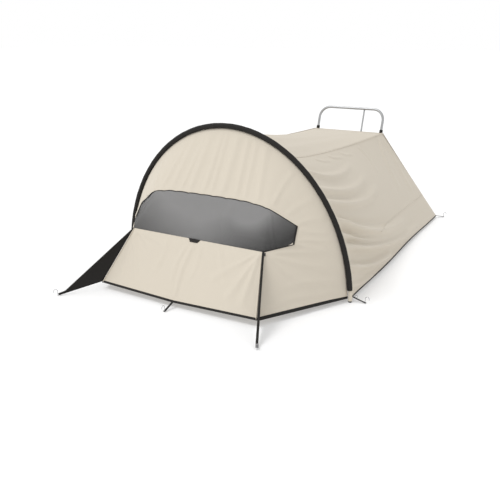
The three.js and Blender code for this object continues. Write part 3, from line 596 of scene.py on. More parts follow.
def strip(name, line, normals, width, thickness, material, spacing=0.02):
    """A flat strip laid along a line, with its flat side on the cloth. normals is one direction
    or one for each point of the line. width is one value, or one for each end."""
    normals = np.asarray(normals, float)
    even = spaced(line, spacing)
    if normals.ndim == 1:
        up = np.tile(normals, (len(even), 1))
    else:
        up = spaced_like(line, normals, len(even))
    along = directions(even)
    up = up - (up * along).sum(1, keepdims=True) * along
    up /= np.linalg.norm(up, axis=1, keepdims=True)
    across = np.cross(along, up)
    widths = np.linspace(*((width, width) if np.isscalar(width) else width), len(even))
    profiles = [[(a * wide, b * thickness) for a, b in STRIP_PROFILE] for wide in widths]
    return swept(name, even, across, up, profiles, material)


def spaced_like(line, values, count):
    """Values given at a line's points, read off at even distances."""
    lengths = lengths_along(line)
    marks = np.linspace(0, lengths[-1], count)
    return np.stack([np.interp(marks, lengths, np.asarray(values)[:, k]) for k in range(3)], axis=1)


def tube(name, line, radius, material, sides=TUBE_SIDES):
    """A round bar or tube along a line. radius is one value or one for each point."""
    line = np.asarray(line, float)
    radii = np.full(len(line), radius) if np.isscalar(radius) else np.asarray(radius)
    along = directions(line)
    side = np.cross(along[0], (0.0, 0.0, 1.0))
    if np.linalg.norm(side) < 0.2:
        side = np.cross(along[0], (0.0, 1.0, 0.0))
    firsts = []
    for direction in along:
        side = side - (side @ direction) * direction
        side /= np.linalg.norm(side)
        firsts.append(side.copy())
    firsts = np.array(firsts)
    turns = np.arange(sides) * 2 * math.pi / sides
    profiles = [[(r * math.cos(t), r * math.sin(t)) for t in turns] for r in radii]
    return swept(name, line, firsts, np.cross(along, firsts), profiles, material)


def joined(name, pieces):
    """Several pieces made one object."""
    with bpy.context.temp_override(active_object=pieces[0], selected_editable_objects=pieces):
        bpy.ops.object.join()
    pieces[0].name = pieces[0].data.name = name
    return pieces[0]


# ---- Door flap -----------------------------------------------------------------------------
# The lower front panel is the door. It hangs from the window's bottom edge, is zipped to the
# side panels down both corners and is held at mid hem by a strap, which draws a soft fold.
FRONT_HEM_DIP = at(0, -0.662, 0.039)
FLAP_FOLDS = [
    ([(0.50, 0.92), (0.485, 0.5), (0.50, 0.04)], (0.020, 0.012), (0.006, 0.006)),
    ([(0.46, 0.90), (0.43, 0.55), (0.45, 0.25)], (0.018, 0.014), (0.0035, 0.002)),
    ([(0.56, 0.92), (0.57, 0.6), (0.55, 0.3)], (0.018, 0.016), (0.003, 0.002)),
    ([(0.02, 0.97), (0.12, 0.55), (0.20, 0.15)], (0.010, 0.035), (0.005, 0.004)),
    ([(0.02, 0.97), (0.07, 0.5), (0.10, 0.1)], (0.010, 0.03), (0.005, 0.0035)),
    ([(0.03, 0.97), (0.20, 0.72), (0.34, 0.45)], (0.010, 0.03), (0.0045, 0.003)),
    ([(0.04, 0.96), (0.22, 0.86), (0.38, 0.74)], (0.010, 0.024), (0.004, 0.002)),
    ([(0.98, 0.97), (0.88, 0.55), (0.80, 0.15)], (0.010, 0.035), (0.005, 0.004)),
    ([(0.98, 0.97), (0.93, 0.5), (0.90, 0.1)], (0.010, 0.03), (0.005, 0.0035)),
    ([(0.97, 0.97), (0.82, 0.70), (0.68, 0.42)], (0.010, 0.03), (0.0045, 0.003)),
    ([(0.30, 0.95), (0.32, 0.6), (0.30, 0.3)], (0.018, 0.022), (0.003, 0.002)),
    ([(0.70, 0.95), (0.74, 0.65), (0.80, 0.4)], (0.016, 0.022), (0.003, 0.002)),
]
FLAP_OUTWARD = (0, -0.85, 0.5)
FLAP_COLUMNS = 120
FLAP_ROWS = 56
FLAP_ROUNDS = 60
DOOR_HEM_WIDTH = 0.015
DOOR_HEM_THICKNESS = 0.0032
PIPING_RADIUS = 0.0028
PIPING_OFFSET = np.array([-0.006, -0.003, 0])

half_flap = FLAP_COLUMNS // 2
flap_hem = straight([FRONT_CORNER * MIRROR, FRONT_HEM_DIP, FRONT_CORNER], [half_flap, half_flap])
flap_top = straight([FLAP_TOP * MIRROR, FLAP_TOP], [FLAP_COLUMNS])
flap_grid = tension(ruled(flap_hem, flap_top, FLAP_ROWS), FLAP_ROUNDS)
flap_relief = fold_relief(flap_grid, FLAP_FOLDS) * edge_fade(flap_grid, EDGE_REACH)
flap_grid += grid_normals(flap_grid, FLAP_OUTWARD) * flap_relief[..., None]
door_flap = cloth_from_grid("door_flap_cloth", flap_grid, FLAP_OUTWARD, canvas)
cover_piece(door_flap, "door", "cover_canvas", "door_flap")

flap_normal = grid_normals(flap_grid, FLAP_OUTWARD)[half_flap, -2]
hem_line = [FRONT_CORNER * MIRROR, FRONT_HEM_DIP, FRONT_CORNER]
hem_tape = strip("door_hem_tape", hem_line, flap_normal, DOOR_HEM_WIDTH, DOOR_HEM_THICKNESS, black_cloth)
cover_piece(hem_tape, "door", "black_cloth")
for side, flip in SIDES.items():
    edge = straight([FRONT_CORNER, FLAP_TOP], [24]) * flip + PIPING_OFFSET * flip
    piping = tube("door_piping_" + side, edge, PIPING_RADIUS, canvas, 10)
    cover_piece(piping, "door", "cover_canvas")

# The tab under the window is a folded patch of webbing, with its corners cut off at a slant.
TAB_HALF_TOP, TAB_HALF_LOW, TAB_DROP = 0.045, 0.029, 0.022
TAB_CLEAR, TAB_CROWN = 0.0022, 0.0015
TAB_COLUMNS, TAB_ROWS = 12, 8
tab_top = on_grid(flap_grid, 0.5, 1.0)
tab_down = on_grid(flap_grid, 0.5, 0.9) - tab_top
tab_down /= np.linalg.norm(tab_down)
tab_grid = np.empty((TAB_COLUMNS + 1, TAB_ROWS + 1, 3))
for i in range(TAB_COLUMNS + 1):
    for j in range(TAB_ROWS + 1):
        drop = j / TAB_ROWS
        half = TAB_HALF_TOP + (TAB_HALF_LOW - TAB_HALF_TOP) * drop
        bow = TAB_CLEAR + TAB_CROWN * math.sin(math.pi * i / TAB_COLUMNS)
        aside = np.array([(2 * i / TAB_COLUMNS - 1) * half, 0, 0])
        tab_grid[i, j] = tab_top + aside + tab_down * drop * TAB_DROP + flap_normal * bow
tab = cloth_from_grid("door_tab", tab_grid, FLAP_OUTWARD, black_cloth, 0.0018)
cover_piece(tab, "door", "black_cloth", "flap_tab")


# ---- Mesh window ---------------------------------------------------------------------------
# A wide panel of fine insect netting, bound in black along its edges. It is drawn tight along
# the bottom, with a few thin upright wrinkles near its ends, and has painted shade that darkens it towards
# its lower right.
# The netting's grey without painted shade, the near black of its painted shade, and the middle of a
# painted light spot
NET_UNSHADED_GREY = (0.250, 0.247, 0.245, 1)
NET_PAINTED_SHADE_GREY = (0.030, 0.029, 0.028, 1)
NET_PAINTED_LIGHT_SPOT = (0.36, HOOP_Y - 0.27, 0.585)
NET_HOLE = 0.0014
NET_THICKNESS = 0.0006
NET_OUTWARD = (0, -1, 0)
NET_ROWS = 36
FACING_INSET, FACING_WIDTHS = 0.020, (0.046, 0.008)
BAND_INSET, BAND_WIDTHS = 0.050, (0.022, 0.006)
BINDING_THICKNESS = 0.003
NET_BINDING_THICKNESS = 0.0026
BINDING_SPACING = 0.012
NET_FOLDS = [
    ([(0.10, 0.04), (0.13, 0.5), (0.17, 0.95)], (0.008, 0.010), (0.004, 0.004)),
    ([(0.12, 0.04), (0.16, 0.5), (0.20, 0.95)], (0.007, 0.008), (0.004, 0.004)),
    ([(0.20, 0.04), (0.22, 0.5), (0.25, 0.95)], (0.008, 0.010), (0.003, 0.004)),
    ([(0.62, 0.04), (0.60, 0.5), (0.62, 0.95)], (0.03, 0.03), (0.003, 0.004)),
    ([(0.84, 0.04), (0.82, 0.5), (0.80, 0.95)], (0.012, 0.014), (0.003, 0.003)),
]


def netting(name):
    """Fine netting with holes from the cloth map. Its colour carries painted shade: darker to the right,
    to the far left and low down, standing in for the dark inside behind it, and a painted light spot that
    makes it lighter round one place."""
    material, shader = principled(name, 0.7)
    tree = material.node_tree
    shader.inputs["Sheen Weight"].default_value = 0.1
    chart = tree.nodes.new("ShaderNodeUVMap")
    chart.uv_map = "cloth"
    weave = tree.nodes.new("ShaderNodeGroup")
    weave.node_tree = plain_weave
    tree.links.new(chart.outputs[0], weave.inputs["Cloth Map"])
    weave.inputs["Thread"].default_value = NET_HOLE
    place = tree.nodes.new("ShaderNodeTexCoord")
    split = tree.nodes.new("ShaderNodeSeparateXYZ")
    tree.links.new(place.outputs["Object"], split.inputs[0])
    # Painted shade mask: the net is shaded darker to the right, to the far left and low down
    across = math_node(tree, "MULTIPLY", math_node(tree, "SUBTRACT", split.outputs["X"], 0.10), 1.7)
    painted_shade_left = math_node(tree, "MULTIPLY", math_node(tree, "SUBTRACT", -0.12, split.outputs["X"]), 1.3)
    across = math_node(tree, "MAXIMUM", across, painted_shade_left)
    below = math_node(tree, "MULTIPLY", math_node(tree, "SUBTRACT", 0.50, split.outputs["Z"]), 3.0)
    # A painted light spot takes painted shade away round one place
    to_painted_light_spot = tree.nodes.new("ShaderNodeVectorMath")
    to_painted_light_spot.operation = "DISTANCE"
    tree.links.new(place.outputs["Object"], to_painted_light_spot.inputs[0])
    to_painted_light_spot.inputs[1].default_value = NET_PAINTED_LIGHT_SPOT
    painted_light_spot = tree.nodes.new("ShaderNodeMapRange")
    painted_light_spot.interpolation_type = "SMOOTHSTEP"
    painted_light_spot.inputs["From Min"].default_value = 0.02
    painted_light_spot.inputs["From Max"].default_value = 0.20
    painted_light_spot.inputs["To Min"].default_value = 0.55
    painted_light_spot.inputs["To Max"].default_value = 0.0
    tree.links.new(to_painted_light_spot.outputs["Value"], painted_light_spot.inputs["Value"])
    soft = noise(tree, place.outputs["Object"], 3.0, 2.0)
    drift = math_node(tree, "MULTIPLY", math_node(tree, "SUBTRACT", soft, 0.5), 0.35)
    # The painted shade, with a little random unevenness and less the painted light spot, mixes the grey
    # towards near black
    painted_shade_amount = math_node(tree, "ADD", math_node(tree, "MAXIMUM", across, 0.0), below)
    painted_shade_amount = math_node(tree, "ADD", painted_shade_amount, drift)
    painted_shade_amount = math_node(tree, "SUBTRACT", painted_shade_amount, painted_light_spot.outputs[0])
    painted_shade_amount.node.use_clamp = True
    shade = mix_colour(tree, painted_shade_amount, NET_UNSHADED_GREY, NET_PAINTED_SHADE_GREY)
    tree.links.new(shade, shader.inputs["Base Color"])
    alpha = math_node(tree, "MULTIPLY_ADD", weave.outputs["Open"], -0.25)
    alpha.node.inputs[2].default_value = 0.97
    tree.links.new(alpha, shader.inputs["Alpha"])
    add_relief(tree, shader, weave.outputs["Height"], 0.3, 0.0006)
    return material


# The netting material, with painted shade and a painted light spot in its colour, used on both net windows
insect_mesh = netting("insect_mesh")
third = (WINDOW_END - FLAP_TOP) / 3
low_right = [FLAP_TOP, FLAP_TOP + third, FLAP_TOP + 2 * third, WINDOW_END]
low_points = [point * MIRROR for point in low_right[::-1]] + low_right
window_lower = straight(low_points, [COLUMN_STEPS] * 3 + [6 * COLUMN_STEPS] + [COLUMN_STEPS] * 3)
window_grid = tension(ruled(window_lower, window_upper, NET_ROWS), 30)
window_relief = fold_relief(window_grid, NET_FOLDS) * edge_fade(window_grid, 0.015)
window_grid += grid_normals(window_grid, NET_OUTWARD) * window_relief[..., None]
window_cloth = cloth_from_grid("window_mesh_cloth", window_grid, NET_OUTWARD, insect_mesh, NET_THICKNESS)
cover_piece(window_cloth, "shelter", "insect_mesh", "window_mesh")

rim_normals = grid_normals(window_grid, NET_OUTWARD)
right_normal = rim_normals[-2, NET_ROWS // 2]
low_end = straight([FLAP_TOP, WINDOW_END], [6])
end_edge = straight([WINDOW_END, window_upper[-1]], [6])
left_rim = np.vstack([end_edge * MIRROR, (shoulder * MIRROR)[1:]])
left_inward = on_grid(window_grid, 0.3, 0.35) - left_rim
left_inward /= np.linalg.norm(left_inward, axis=1, keepdims=True)


def on_net(points):
    """The nearest places on the net to a line of points, just above it, and the way they face."""
    flat, facing_way = window_grid.reshape(-1, 3), rim_normals.reshape(-1, 3)
    nearest = [int(np.argmin(np.linalg.norm(flat - point, axis=1))) for point in points]
    lifted, normals = flat[nearest] + facing_way[nearest] * 0.004, facing_way[nearest]
    for _ in range(3):
        lifted[1:-1] = (lifted[:-2] + lifted[1:-1] + lifted[2:]) / 3
    return lifted, normals


closing = (1 - np.linspace(0, 1, len(left_rim)) ** 3)[:, None]
facing_line, facing_normals = on_net(left_rim + left_inward * FACING_INSET * closing)
band_line, band_normals = on_net(left_rim + left_inward * BAND_INSET * closing)
binding_lines = {
    "window_binding_top": (window_upper, rim_normals[:, -2], 0.005),
    "window_binding_right": (end_edge + right_normal * BINDING_THICKNESS, right_normal, 0.010),
    "window_binding_left": (band_line, band_normals, BAND_WIDTHS),
    "window_binding_low_right": (low_end, rim_normals[-20, 1], 0.006),
    "window_binding_low_left": (low_end * MIRROR, rim_normals[20, 1], 0.006),
}
facing = strip("window_facing_left", facing_line, facing_normals, FACING_WIDTHS, BINDING_THICKNESS,
               canvas, BINDING_SPACING)
cover_piece(facing, "shelter", "cover_canvas")
for name, (line, normal, width) in binding_lines.items():
    binding = strip(name, line, normal, width, NET_BINDING_THICKNESS, black_cloth, BINDING_SPACING)
    cover_piece(binding, "shelter", "black_cloth")


# ---- Cover, roof and side walls behind the hoop --------------------------------------------
# The roof runs from the hoop's top down to the foot bow. The two walls hang from the ridge seams
# to the ground; they are cut full, so they sag in long swags from the hoop towards the tail.
HOOP_HEM = at(HOOP_HALF_WIDTH + 0.001, 0.026, 0.031)
TAIL_CORNER = at(0.711, 2.353, 0.020)
ROOF_CORNER = at(0.322, 1.878, 0.805)
SLEEVE_START = 0.048
RIDGE_ANGLE = 1.03
SEAM_SAG = 0.056
HEM_WAVE = 0.010
# Folds of a wall: u runs up from the hem to the ridge, v from the hoop to the tail
WALL_FOLDS = [
    ([(0.88, 0.0), (0.80, 0.16), (0.78, 0.32), (0.83, 0.48)], (0.022, 0.030), (0.020, 0.003)),
    ([(0.735, 0.0), (0.66, 0.2), (0.64, 0.38), (0.70, 0.54)], (0.026, 0.034), (0.024, 0.003)),
    ([(0.64, 0.0), (0.55, 0.22), (0.52, 0.42), (0.58, 0.58)], (0.028, 0.036), (0.028, 0.004)),
    ([(0.53, 0.0), (0.42, 0.12), (0.30, 0.3), (0.22, 0.48), (0.17, 0.7)], (0.026, 0.045), (0.060, 0.010)),
    ([(0.44, 0.0), (0.33, 0.14), (0.22, 0.34), (0.16, 0.5), (0.11, 0.72)], (0.022, 0.030), (0.036, 0.006)),
    ([(0.355, 0.0), (0.25, 0.18), (0.15, 0.39), (0.08, 0.6), (0.05, 0.8)], (0.024, 0.038), (0.052, 0.010)),
    ([(0.24, 0.0), (0.16, 0.12), (0.10, 0.25), (0.05, 0.42)], (0.022, 0.028), (0.040, 0.010)),
    ([(0.12, 0.0), (0.07, 0.09), (0.03, 0.2)], (0.018, 0.02), (0.016, 0.006)),
    ([(0.97, 0.66), (0.84, 0.68), (0.66, 0.66)], (0.014, 0.030), (0.007, 0.003)),
    ([(0.97, 0.93), (0.70, 0.83), (0.42, 0.78)], (0.018, 0.05), (0.009, 0.006)),
    ([(0.97, 0.97), (0.62, 0.93), (0.30, 0.90)], (0.016, 0.04), (0.008, 0.007)),
    ([(0.965, 0.20), (0.93, 0.25), (0.91, 0.32)], (0.010, 0.014), (0.005, 0.003)),
    ([(0.97, 0.33), (0.93, 0.37), (0.91, 0.44)], (0.010, 0.014), (0.005, 0.003)),
    ([(0.97, 0.45), (0.93, 0.49), (0.91, 0.55)], (0.010, 0.014), (0.004, 0.003)),
]
INNER_LINE_HEIGHT = 0.14 * HOOP_HEIGHT


def towards_middle(grid):
    """The way in from each point of the cover, towards a low line along its middle."""
    way = np.stack([-grid[..., 0], np.zeros(grid.shape[:2]), INNER_LINE_HEIGHT - grid[..., 2]], axis=-1)
    return way / np.linalg.norm(way, axis=-1, keepdims=True)


def hang(along):
    """How the cloth hangs along the cover: most at a third of the way from the hoop."""
    return 2.6 * np.sqrt(along) * (1 - along)


wall_columns, wall_rows = 120, 150
roof_columns, roof_rows = 101, 120
hoop_start = math.asin(SLEEVE_START / HOOP_HEIGHT)
first_share = 1 / 16
wall_front = []
for share in np.linspace(0, 1, wall_columns):
    if share < first_share:
        low = hoop_point(hoop_start, 0, PANEL_INSET)
        wall_front.append(HOOP_HEM + (low - HOOP_HEM) * share / first_share)
    else:
        up = (share - first_share) / (1 - first_share)
        wall_front.append(hoop_point(hoop_start + up * (RIDGE_ANGLE - hoop_start), 0, PANEL_INSET))
wall_front = np.array(wall_front)
wall_back = straight([TAIL_CORNER, ROOF_CORNER], [wall_columns - 1])
wall_grid = ruled(wall_front, wall_back, wall_rows)
up_share = np.linspace(0, 1, wall_columns)[:, None]
along_share = np.linspace(0, 1, wall_rows)[None, :]
sag = SEAM_SAG * up_share * hang(along_share)
wall_grid += towards_middle(wall_grid) * sag[..., None]
hem_wave = HEM_WAVE * np.sin(2.2 * math.pi * along_share) * along_share * (1 - along_share) * 4
wall_grid[..., 0] += hem_wave * (1 - up_share) ** 3
wall_outward = (0.85, 0.0, 0.5)
wall_relief = fold_relief(wall_grid, WALL_FOLDS) * edge_fade(wall_grid, 0.05)
wall_grid += grid_normals(wall_grid, wall_outward) * wall_relief[..., None]
for side, flip in SIDES.items():
    panel = cloth_from_grid("cover_wall_" + side, wall_grid * flip, wall_outward * flip, canvas)
    cover_piece(panel, "shelter", "cover_canvas", "side_wall_" + side)

ROOF_FOLDS = [
    ([(0.10, 0.02), (0.16, 0.4), (0.20, 0.8)], (0.05, 0.06), (0.006, 0.004)),
    ([(0.30, 0.02), (0.34, 0.5), (0.33, 0.95)], (0.06, 0.06), (0.006, 0.004)),
    ([(0.52, 0.02), (0.50, 0.5), (0.48, 0.95)], (0.06, 0.06), (0.005, 0.004)),
    ([(0.72, 0.02), (0.68, 0.5), (0.70, 0.95)], (0.06, 0.06), (0.006, 0.004)),
    ([(0.90, 0.02), (0.84, 0.4), (0.80, 0.8)], (0.05, 0.06), (0.006, 0.004)),
]
roof_angles = np.linspace(RIDGE_ANGLE, math.pi - RIDGE_ANGLE, roof_columns)
roof_front = np.array([hoop_point(angle, 0, PANEL_INSET) for angle in roof_angles])
roof_back = straight([ROOF_CORNER, ROOF_CORNER * MIRROR], [roof_columns - 1])
roof_grid = ruled(roof_front, roof_back, roof_rows)
roof_along = np.linspace(0, 1, roof_rows)[None, :]
roof_sag = SEAM_SAG * hang(roof_along) * np.ones((roof_columns, 1))
roof_grid += towards_middle(roof_grid) * roof_sag[..., None]
roof_relief = fold_relief(roof_grid, ROOF_FOLDS) * edge_fade(roof_grid, 0.04)
roof_grid += grid_normals(roof_grid, (0, 0, 1)) * roof_relief[..., None]
roof = cloth_from_grid("cover_roof", roof_grid, (0, 0, 1), canvas)
cover_piece(roof, "shelter", "cover_canvas", "roof_panel")


# ---- Cover, tail wall ----------------------------------------------------------------------
# The tail wall closes the foot end below the bow. It has a netting window in the middle, bound
# in black, and its hem is held to the ground by the two tail pegs.
TAIL_WALL_LOW = at(0.702, 2.353, 0.020)
TAIL_WALL_TOP = at(0.322, 1.916, 0.795)
TAIL_WINDOW_LOW, TAIL_WINDOW_HIGH = 0.130, 0.560
TAIL_WINDOW_HALF_LOW, TAIL_WINDOW_HALF_HIGH = 0.400, 0.270
NET_BEHIND = 0.0008
TAIL_FOLDS = [
    ([(0.06, 0.95), (0.12, 0.5), (0.20, 0.08)], (0.016, 0.03), (0.005, 0.004)),
    ([(0.94, 0.95), (0.88, 0.5), (0.80, 0.08)], (0.016, 0.03), (0.005, 0.004)),
    ([(0.30, 0.97), (0.33, 0.85), (0.33, 0.72)], (0.014, 0.02), (0.004, 0.003)),
    ([(0.60, 0.97), (0.62, 0.85), (0.60, 0.72)], (0.014, 0.02), (0.004, 0.003)),
]

tail_slope = TAIL_WALL_TOP * [0, 1, 1] - TAIL_WALL_LOW * [0, 1, 1]
tail_height = np.linalg.norm(tail_slope)
tail_up = tail_slope / tail_height
tail_outward = np.array([0.0, tail_up[2], -tail_up[1]])


def tail_half_width(height):
    share = height / tail_height
    return TAIL_WALL_LOW[0] + (TAIL_WALL_TOP[0] - TAIL_WALL_LOW[0]) * share


def tail_window_half(height):
    share = (height - TAIL_WINDOW_LOW) / (TAIL_WINDOW_HIGH - TAIL_WINDOW_LOW)
    return TAIL_WINDOW_HALF_LOW + (TAIL_WINDOW_HALF_HIGH - TAIL_WINDOW_HALF_LOW) * share


def tail_row(height, halves):
    foot = TAIL_WALL_LOW * [0, 1, 1] + tail_up * height
    return np.array([foot + [half, 0, 0] for half in halves])


# Faces beside and across the window, and below, beside and above it
border, middle = 14, 40
below, beside, above = 8, 28, 18
heights = np.concatenate([np.linspace(0, TAIL_WINDOW_LOW, below + 1),
                          np.linspace(TAIL_WINDOW_LOW, TAIL_WINDOW_HIGH, beside + 1)[1:],
                          np.linspace(TAIL_WINDOW_HIGH, tail_height, above + 1)[1:]])
tail_rows = []
for height in heights:
    outer, inner = tail_half_width(height), tail_window_half(height)
    halves = np.concatenate([np.linspace(-outer, -inner, border + 1),
                             np.linspace(-inner, inner, middle + 1)[1:],
                             np.linspace(inner, outer, border + 1)[1:]])
    tail_rows.append(tail_row(height, halves))
tail_grid = np.array(tail_rows).transpose(1, 0, 2)
tail_keep = np.ones((tail_grid.shape[0] - 1, tail_grid.shape[1] - 1), bool)
tail_keep[border:border + middle, below:below + beside] = False
tail_relief = fold_relief(tail_grid, TAIL_FOLDS) * edge_fade(tail_grid, 0.03)
tail_grid += tail_outward * tail_relief[..., None]
tail_wall = cloth_from_grid("cover_tail_wall", tail_grid, tail_outward, canvas, keep=tail_keep)
cover_piece(tail_wall, "shelter", "cover_canvas", "tail_wall")

tail_net_grid = tail_grid[border:border + middle + 1, below:below + beside + 1] - tail_outward * NET_BEHIND
tail_net = cloth_from_grid("tail_mesh_cloth", tail_net_grid, tail_outward, insect_mesh, NET_THICKNESS)
cover_piece(tail_net, "shelter", "insect_mesh", "tail_mesh")
tail_frame = [tail_net_grid[0, 0], tail_net_grid[-1, 0], tail_net_grid[-1, -1], tail_net_grid[0, -1]]
for number, (start, end) in enumerate(zip(tail_frame, tail_frame[1:] + tail_frame[:1])):
    binding = strip(f"tail_window_binding_{number}", [start, end], tail_outward, 0.012,
                    BINDING_THICKNESS, black_cloth)
    cover_piece(binding, "shelter", "black_cloth")


# ---- Seams and hems ------------------------------------------------------------------------
# Panels are joined with flat felled seams, with two rows of stitches in each. The hems are
# turned into black tape: wide along the front, narrow along the walls and the tail.
SEAM_WIDTH = 0.012
SEAM_HEIGHT = 0.0024
STITCH_SPACING = 0.0060
STITCH_LENGTH = 0.0042
STITCH_WIDTH = 0.0010
STITCH_ROW_OFFSET = 0.0036
THREAD_COLOUR = (0.50, 0.45, 0.37, 1)
THREAD_SHADE = (0.42, 0.37, 0.30, 1)
SIDE_HEM_WIDTH, SIDE_HEM_THICKNESS = 0.021, 0.0034
WALL_HEM_WIDTH = 0.009
TAIL_HEM_WIDTH = 0.012
EDGE_BINDING_WIDTH = 0.010


def row_tree(name, sides):
    """Lays one small bar at even distances along a line, in the line's direction."""
    tree = bpy.data.node_groups.new(name, "GeometryNodeTree")
    tree.interface.new_socket("Geometry", in_out="INPUT", socket_type="NodeSocketGeometry")
    for label in ("Spacing", "Length", "Width"):
        tree.interface.new_socket(label, in_out="INPUT", socket_type="NodeSocketFloat")
    tree.interface.new_socket("Material", in_out="INPUT", socket_type="NodeSocketMaterial")
    tree.interface.new_socket("Geometry", in_out="OUTPUT", socket_type="NodeSocketGeometry")
    nodes, link = tree.nodes, tree.links.new
    inlet, outlet = nodes.new("NodeGroupInput"), nodes.new("NodeGroupOutput")
    to_curve = nodes.new("GeometryNodeMeshToCurve")
    resample = nodes.new("GeometryNodeResampleCurve")
    resample.mode = "LENGTH"
    bar = nodes.new("GeometryNodeMeshCylinder")
    bar.inputs["Vertices"].default_value = sides
    tangent = nodes.new("GeometryNodeInputTangent")
    align = nodes.new("FunctionNodeAlignRotationToVector")
    align.axis = "Z"
    place = nodes.new("GeometryNodeInstanceOnPoints")
    realize = nodes.new("GeometryNodeRealizeInstances")
    paint = nodes.new("GeometryNodeSetMaterial")
    link(inlet.outputs["Geometry"], to_curve.inputs[0])
    link(to_curve.outputs[0], resample.inputs["Curve"])
    link(inlet.outputs["Spacing"], resample.inputs["Length"])
    link(inlet.outputs["Length"], bar.inputs["Depth"])
    link(inlet.outputs["Width"], bar.inputs["Radius"])
    link(tangent.outputs[0], align.inputs["Vector"])
    link(resample.outputs[0], place.inputs["Points"])
    link(bar.outputs["Mesh"], place.inputs["Instance"])
    link(align.outputs[0], place.inputs["Rotation"])
    link(place.outputs[0], realize.inputs[0])
    link(realize.outputs[0], paint.inputs["Geometry"])
    link(inlet.outputs["Material"], paint.inputs["Material"])
    link(paint.outputs[0], outlet.inputs[0])
    return tree


def row_along(name, lines, tree, spacing, length, width, material):
    """Runs a row tree along one or more lines and keeps the result as a plain mesh."""
    points, edges = [], []
    for line in lines:
        start = len(points)
        points += [tuple(map(float, point)) for point in line]
        edges += [(start + k, start + k + 1) for k in range(len(line) - 1)]
    mesh = bpy.data.meshes.new(name)
    mesh.from_pydata(points, edges, [])
    piece = bpy.data.objects.new(name, mesh)
    bpy.context.collection.objects.link(piece)
    row = piece.modifiers.new("row", "NODES")
    row.node_group = tree
    values = {"Spacing": spacing, "Length": length, "Width": width, "Material": material}
    for item in tree.interface.items_tree:
        if item.in_out == "INPUT" and item.name in values:
            row[item.identifier] = values[item.name]
    bpy.context.view_layer.update()
    applied(piece)
    if "cloth" not in piece.data.uv_layers:
        cloth_map(piece, np.zeros((len(piece.data.vertices), 2)))
    return piece


stitch_row = row_tree("stitch_row", 6)
thread = cloth_finish("sewing_thread", THREAD_COLOUR, THREAD_SHADE, 0.0004, 0.7, 0.3, 0.0002)


def felled_seam(name, line, normals):
    """A raised seam of the cover's own cloth, with its two rows of stitches."""
    seam = strip(name, line, normals, SEAM_WIDTH, SEAM_HEIGHT, canvas, 0.012)
    cover_piece(seam, "shelter", "cover_canvas")
    line = np.asarray(line)
    normals = np.tile(normals, (len(line), 1)) if np.ndim(normals) == 1 else normals
    across = np.cross(directions(line), normals)
    across /= np.linalg.norm(across, axis=1, keepdims=True)
    lift = normals * (SEAM_HEIGHT / 2)
    rows = [line + across * STITCH_ROW_OFFSET * way + lift for way in (1, -1)]
    stitches = row_along(name + "_stitches", rows, stitch_row, STITCH_SPACING, STITCH_LENGTH,
                         STITCH_WIDTH / 2, thread)
    cover_piece(stitches, "shelter", "cover_canvas")


ridge_line = wall_grid[-1]
roof_normal = grid_normals(roof_grid, (0, 0, 1))[1, roof_rows // 2]
ridge_normals = grid_normals(wall_grid, wall_outward)[-2] + roof_normal
ridge_normals /= np.linalg.norm(ridge_normals, axis=1, keepdims=True)
tail_seam = straight([(TAIL_CORNER + TAIL_WALL_LOW) / 2, ROOF_CORNER + [0, 0.004, 0]], [60])
tail_seam_normal = np.array([0.7, 0.65, 0.3])
wall_seam_path = [on_grid(wall_grid, 0.27, v) for v in np.linspace(0.34, 0.995, 70)]
wall_seam_normal = np.array([0.88, 0.05, 0.47])
for side, flip in SIDES.items():
    felled_seam("ridge_seam_" + side, ridge_line * flip, ridge_normals * flip)
    felled_seam("tail_seam_" + side, tail_seam * flip, tail_seam_normal * flip)
    felled_seam("wall_seam_" + side, np.array(wall_seam_path) * flip, wall_seam_normal * flip)

    front_hem = strip("side_hem_tape_" + side, side_grid[0] * flip, side_outward * flip,
                      SIDE_HEM_WIDTH, SIDE_HEM_THICKNESS, black_cloth)
    cover_piece(front_hem, "shelter", "black_cloth")
    wall_hem = strip("wall_hem_tape_" + side, wall_grid[0] * flip, wall_outward * flip,
                     WALL_HEM_WIDTH, BINDING_THICKNESS, black_cloth)
    cover_piece(wall_hem, "shelter", "black_cloth")

tail_hem_line = straight([TAIL_WALL_LOW * MIRROR, TAIL_WALL_LOW], [20])
tail_hem = strip("tail_hem_tape", tail_hem_line, tail_outward, TAIL_HEM_WIDTH, BINDING_THICKNESS,
                 black_cloth)
cover_piece(tail_hem, "shelter", "black_cloth")
roof_edge = strip("roof_edge_binding", roof_back, (0, 0.3, 1), EDGE_BINDING_WIDTH,
                  BINDING_THICKNESS, canvas)
cover_piece(roof_edge, "shelter", "cover_canvas")
tail_top_line = straight([TAIL_WALL_TOP * MIRROR, TAIL_WALL_TOP], [20])
tail_top = strip("tail_wall_binding", tail_top_line, tail_outward, EDGE_BINDING_WIDTH,
                 BINDING_THICKNESS, canvas)
cover_piece(tail_top, "shelter", "cover_canvas")


# ---- Door zips -----------------------------------------------------------------------------
# A moulded zip runs down each corner of the door, beside the canvas piping. Its teeth sit on
# black tape that widens towards the ground.
ZIP_TAPE_WIDTHS = (0.016, 0.004)
ZIP_TAPE_THICKNESS = 0.0018
ZIP_INSET = 0.006
ZIP_LIFT = 0.0022
ZIP_FOOT_SHARE = 0.03
TOOTH_SPACING = 0.0030
TOOTH_LENGTH, TOOTH_RADIUS = 0.0016, 0.0019
TOOTH_LIFT = 0.0014
tooth_row = row_tree("tooth_row", 4)


def moulded(name, colour, roughness, grain):
    """Moulded plastic or rubber with a fine grain and slightly uneven gloss."""
    material, shader = principled(name, roughness)
    tree = material.node_tree
    place = tree.nodes.new("ShaderNodeTexCoord")
    coarse = noise(tree, place.outputs["Object"], 45.0, 3.0)
    fine = noise(tree, place.outputs["Object"], grain, 2.0)
    lighter = tuple(min(channel * 1.7 + 0.004, 1) for channel in colour[:3]) + (1,)
    tree.links.new(mix_colour(tree, coarse, colour, lighter), shader.inputs["Base Color"])
    rough = math_node(tree, "MULTIPLY_ADD", coarse, 0.25)
    rough.node.inputs[2].default_value = roughness - 0.12
    tree.links.new(rough, shader.inputs["Roughness"])
    add_relief(tree, shader, fine, 0.25, 0.0003)
    return material


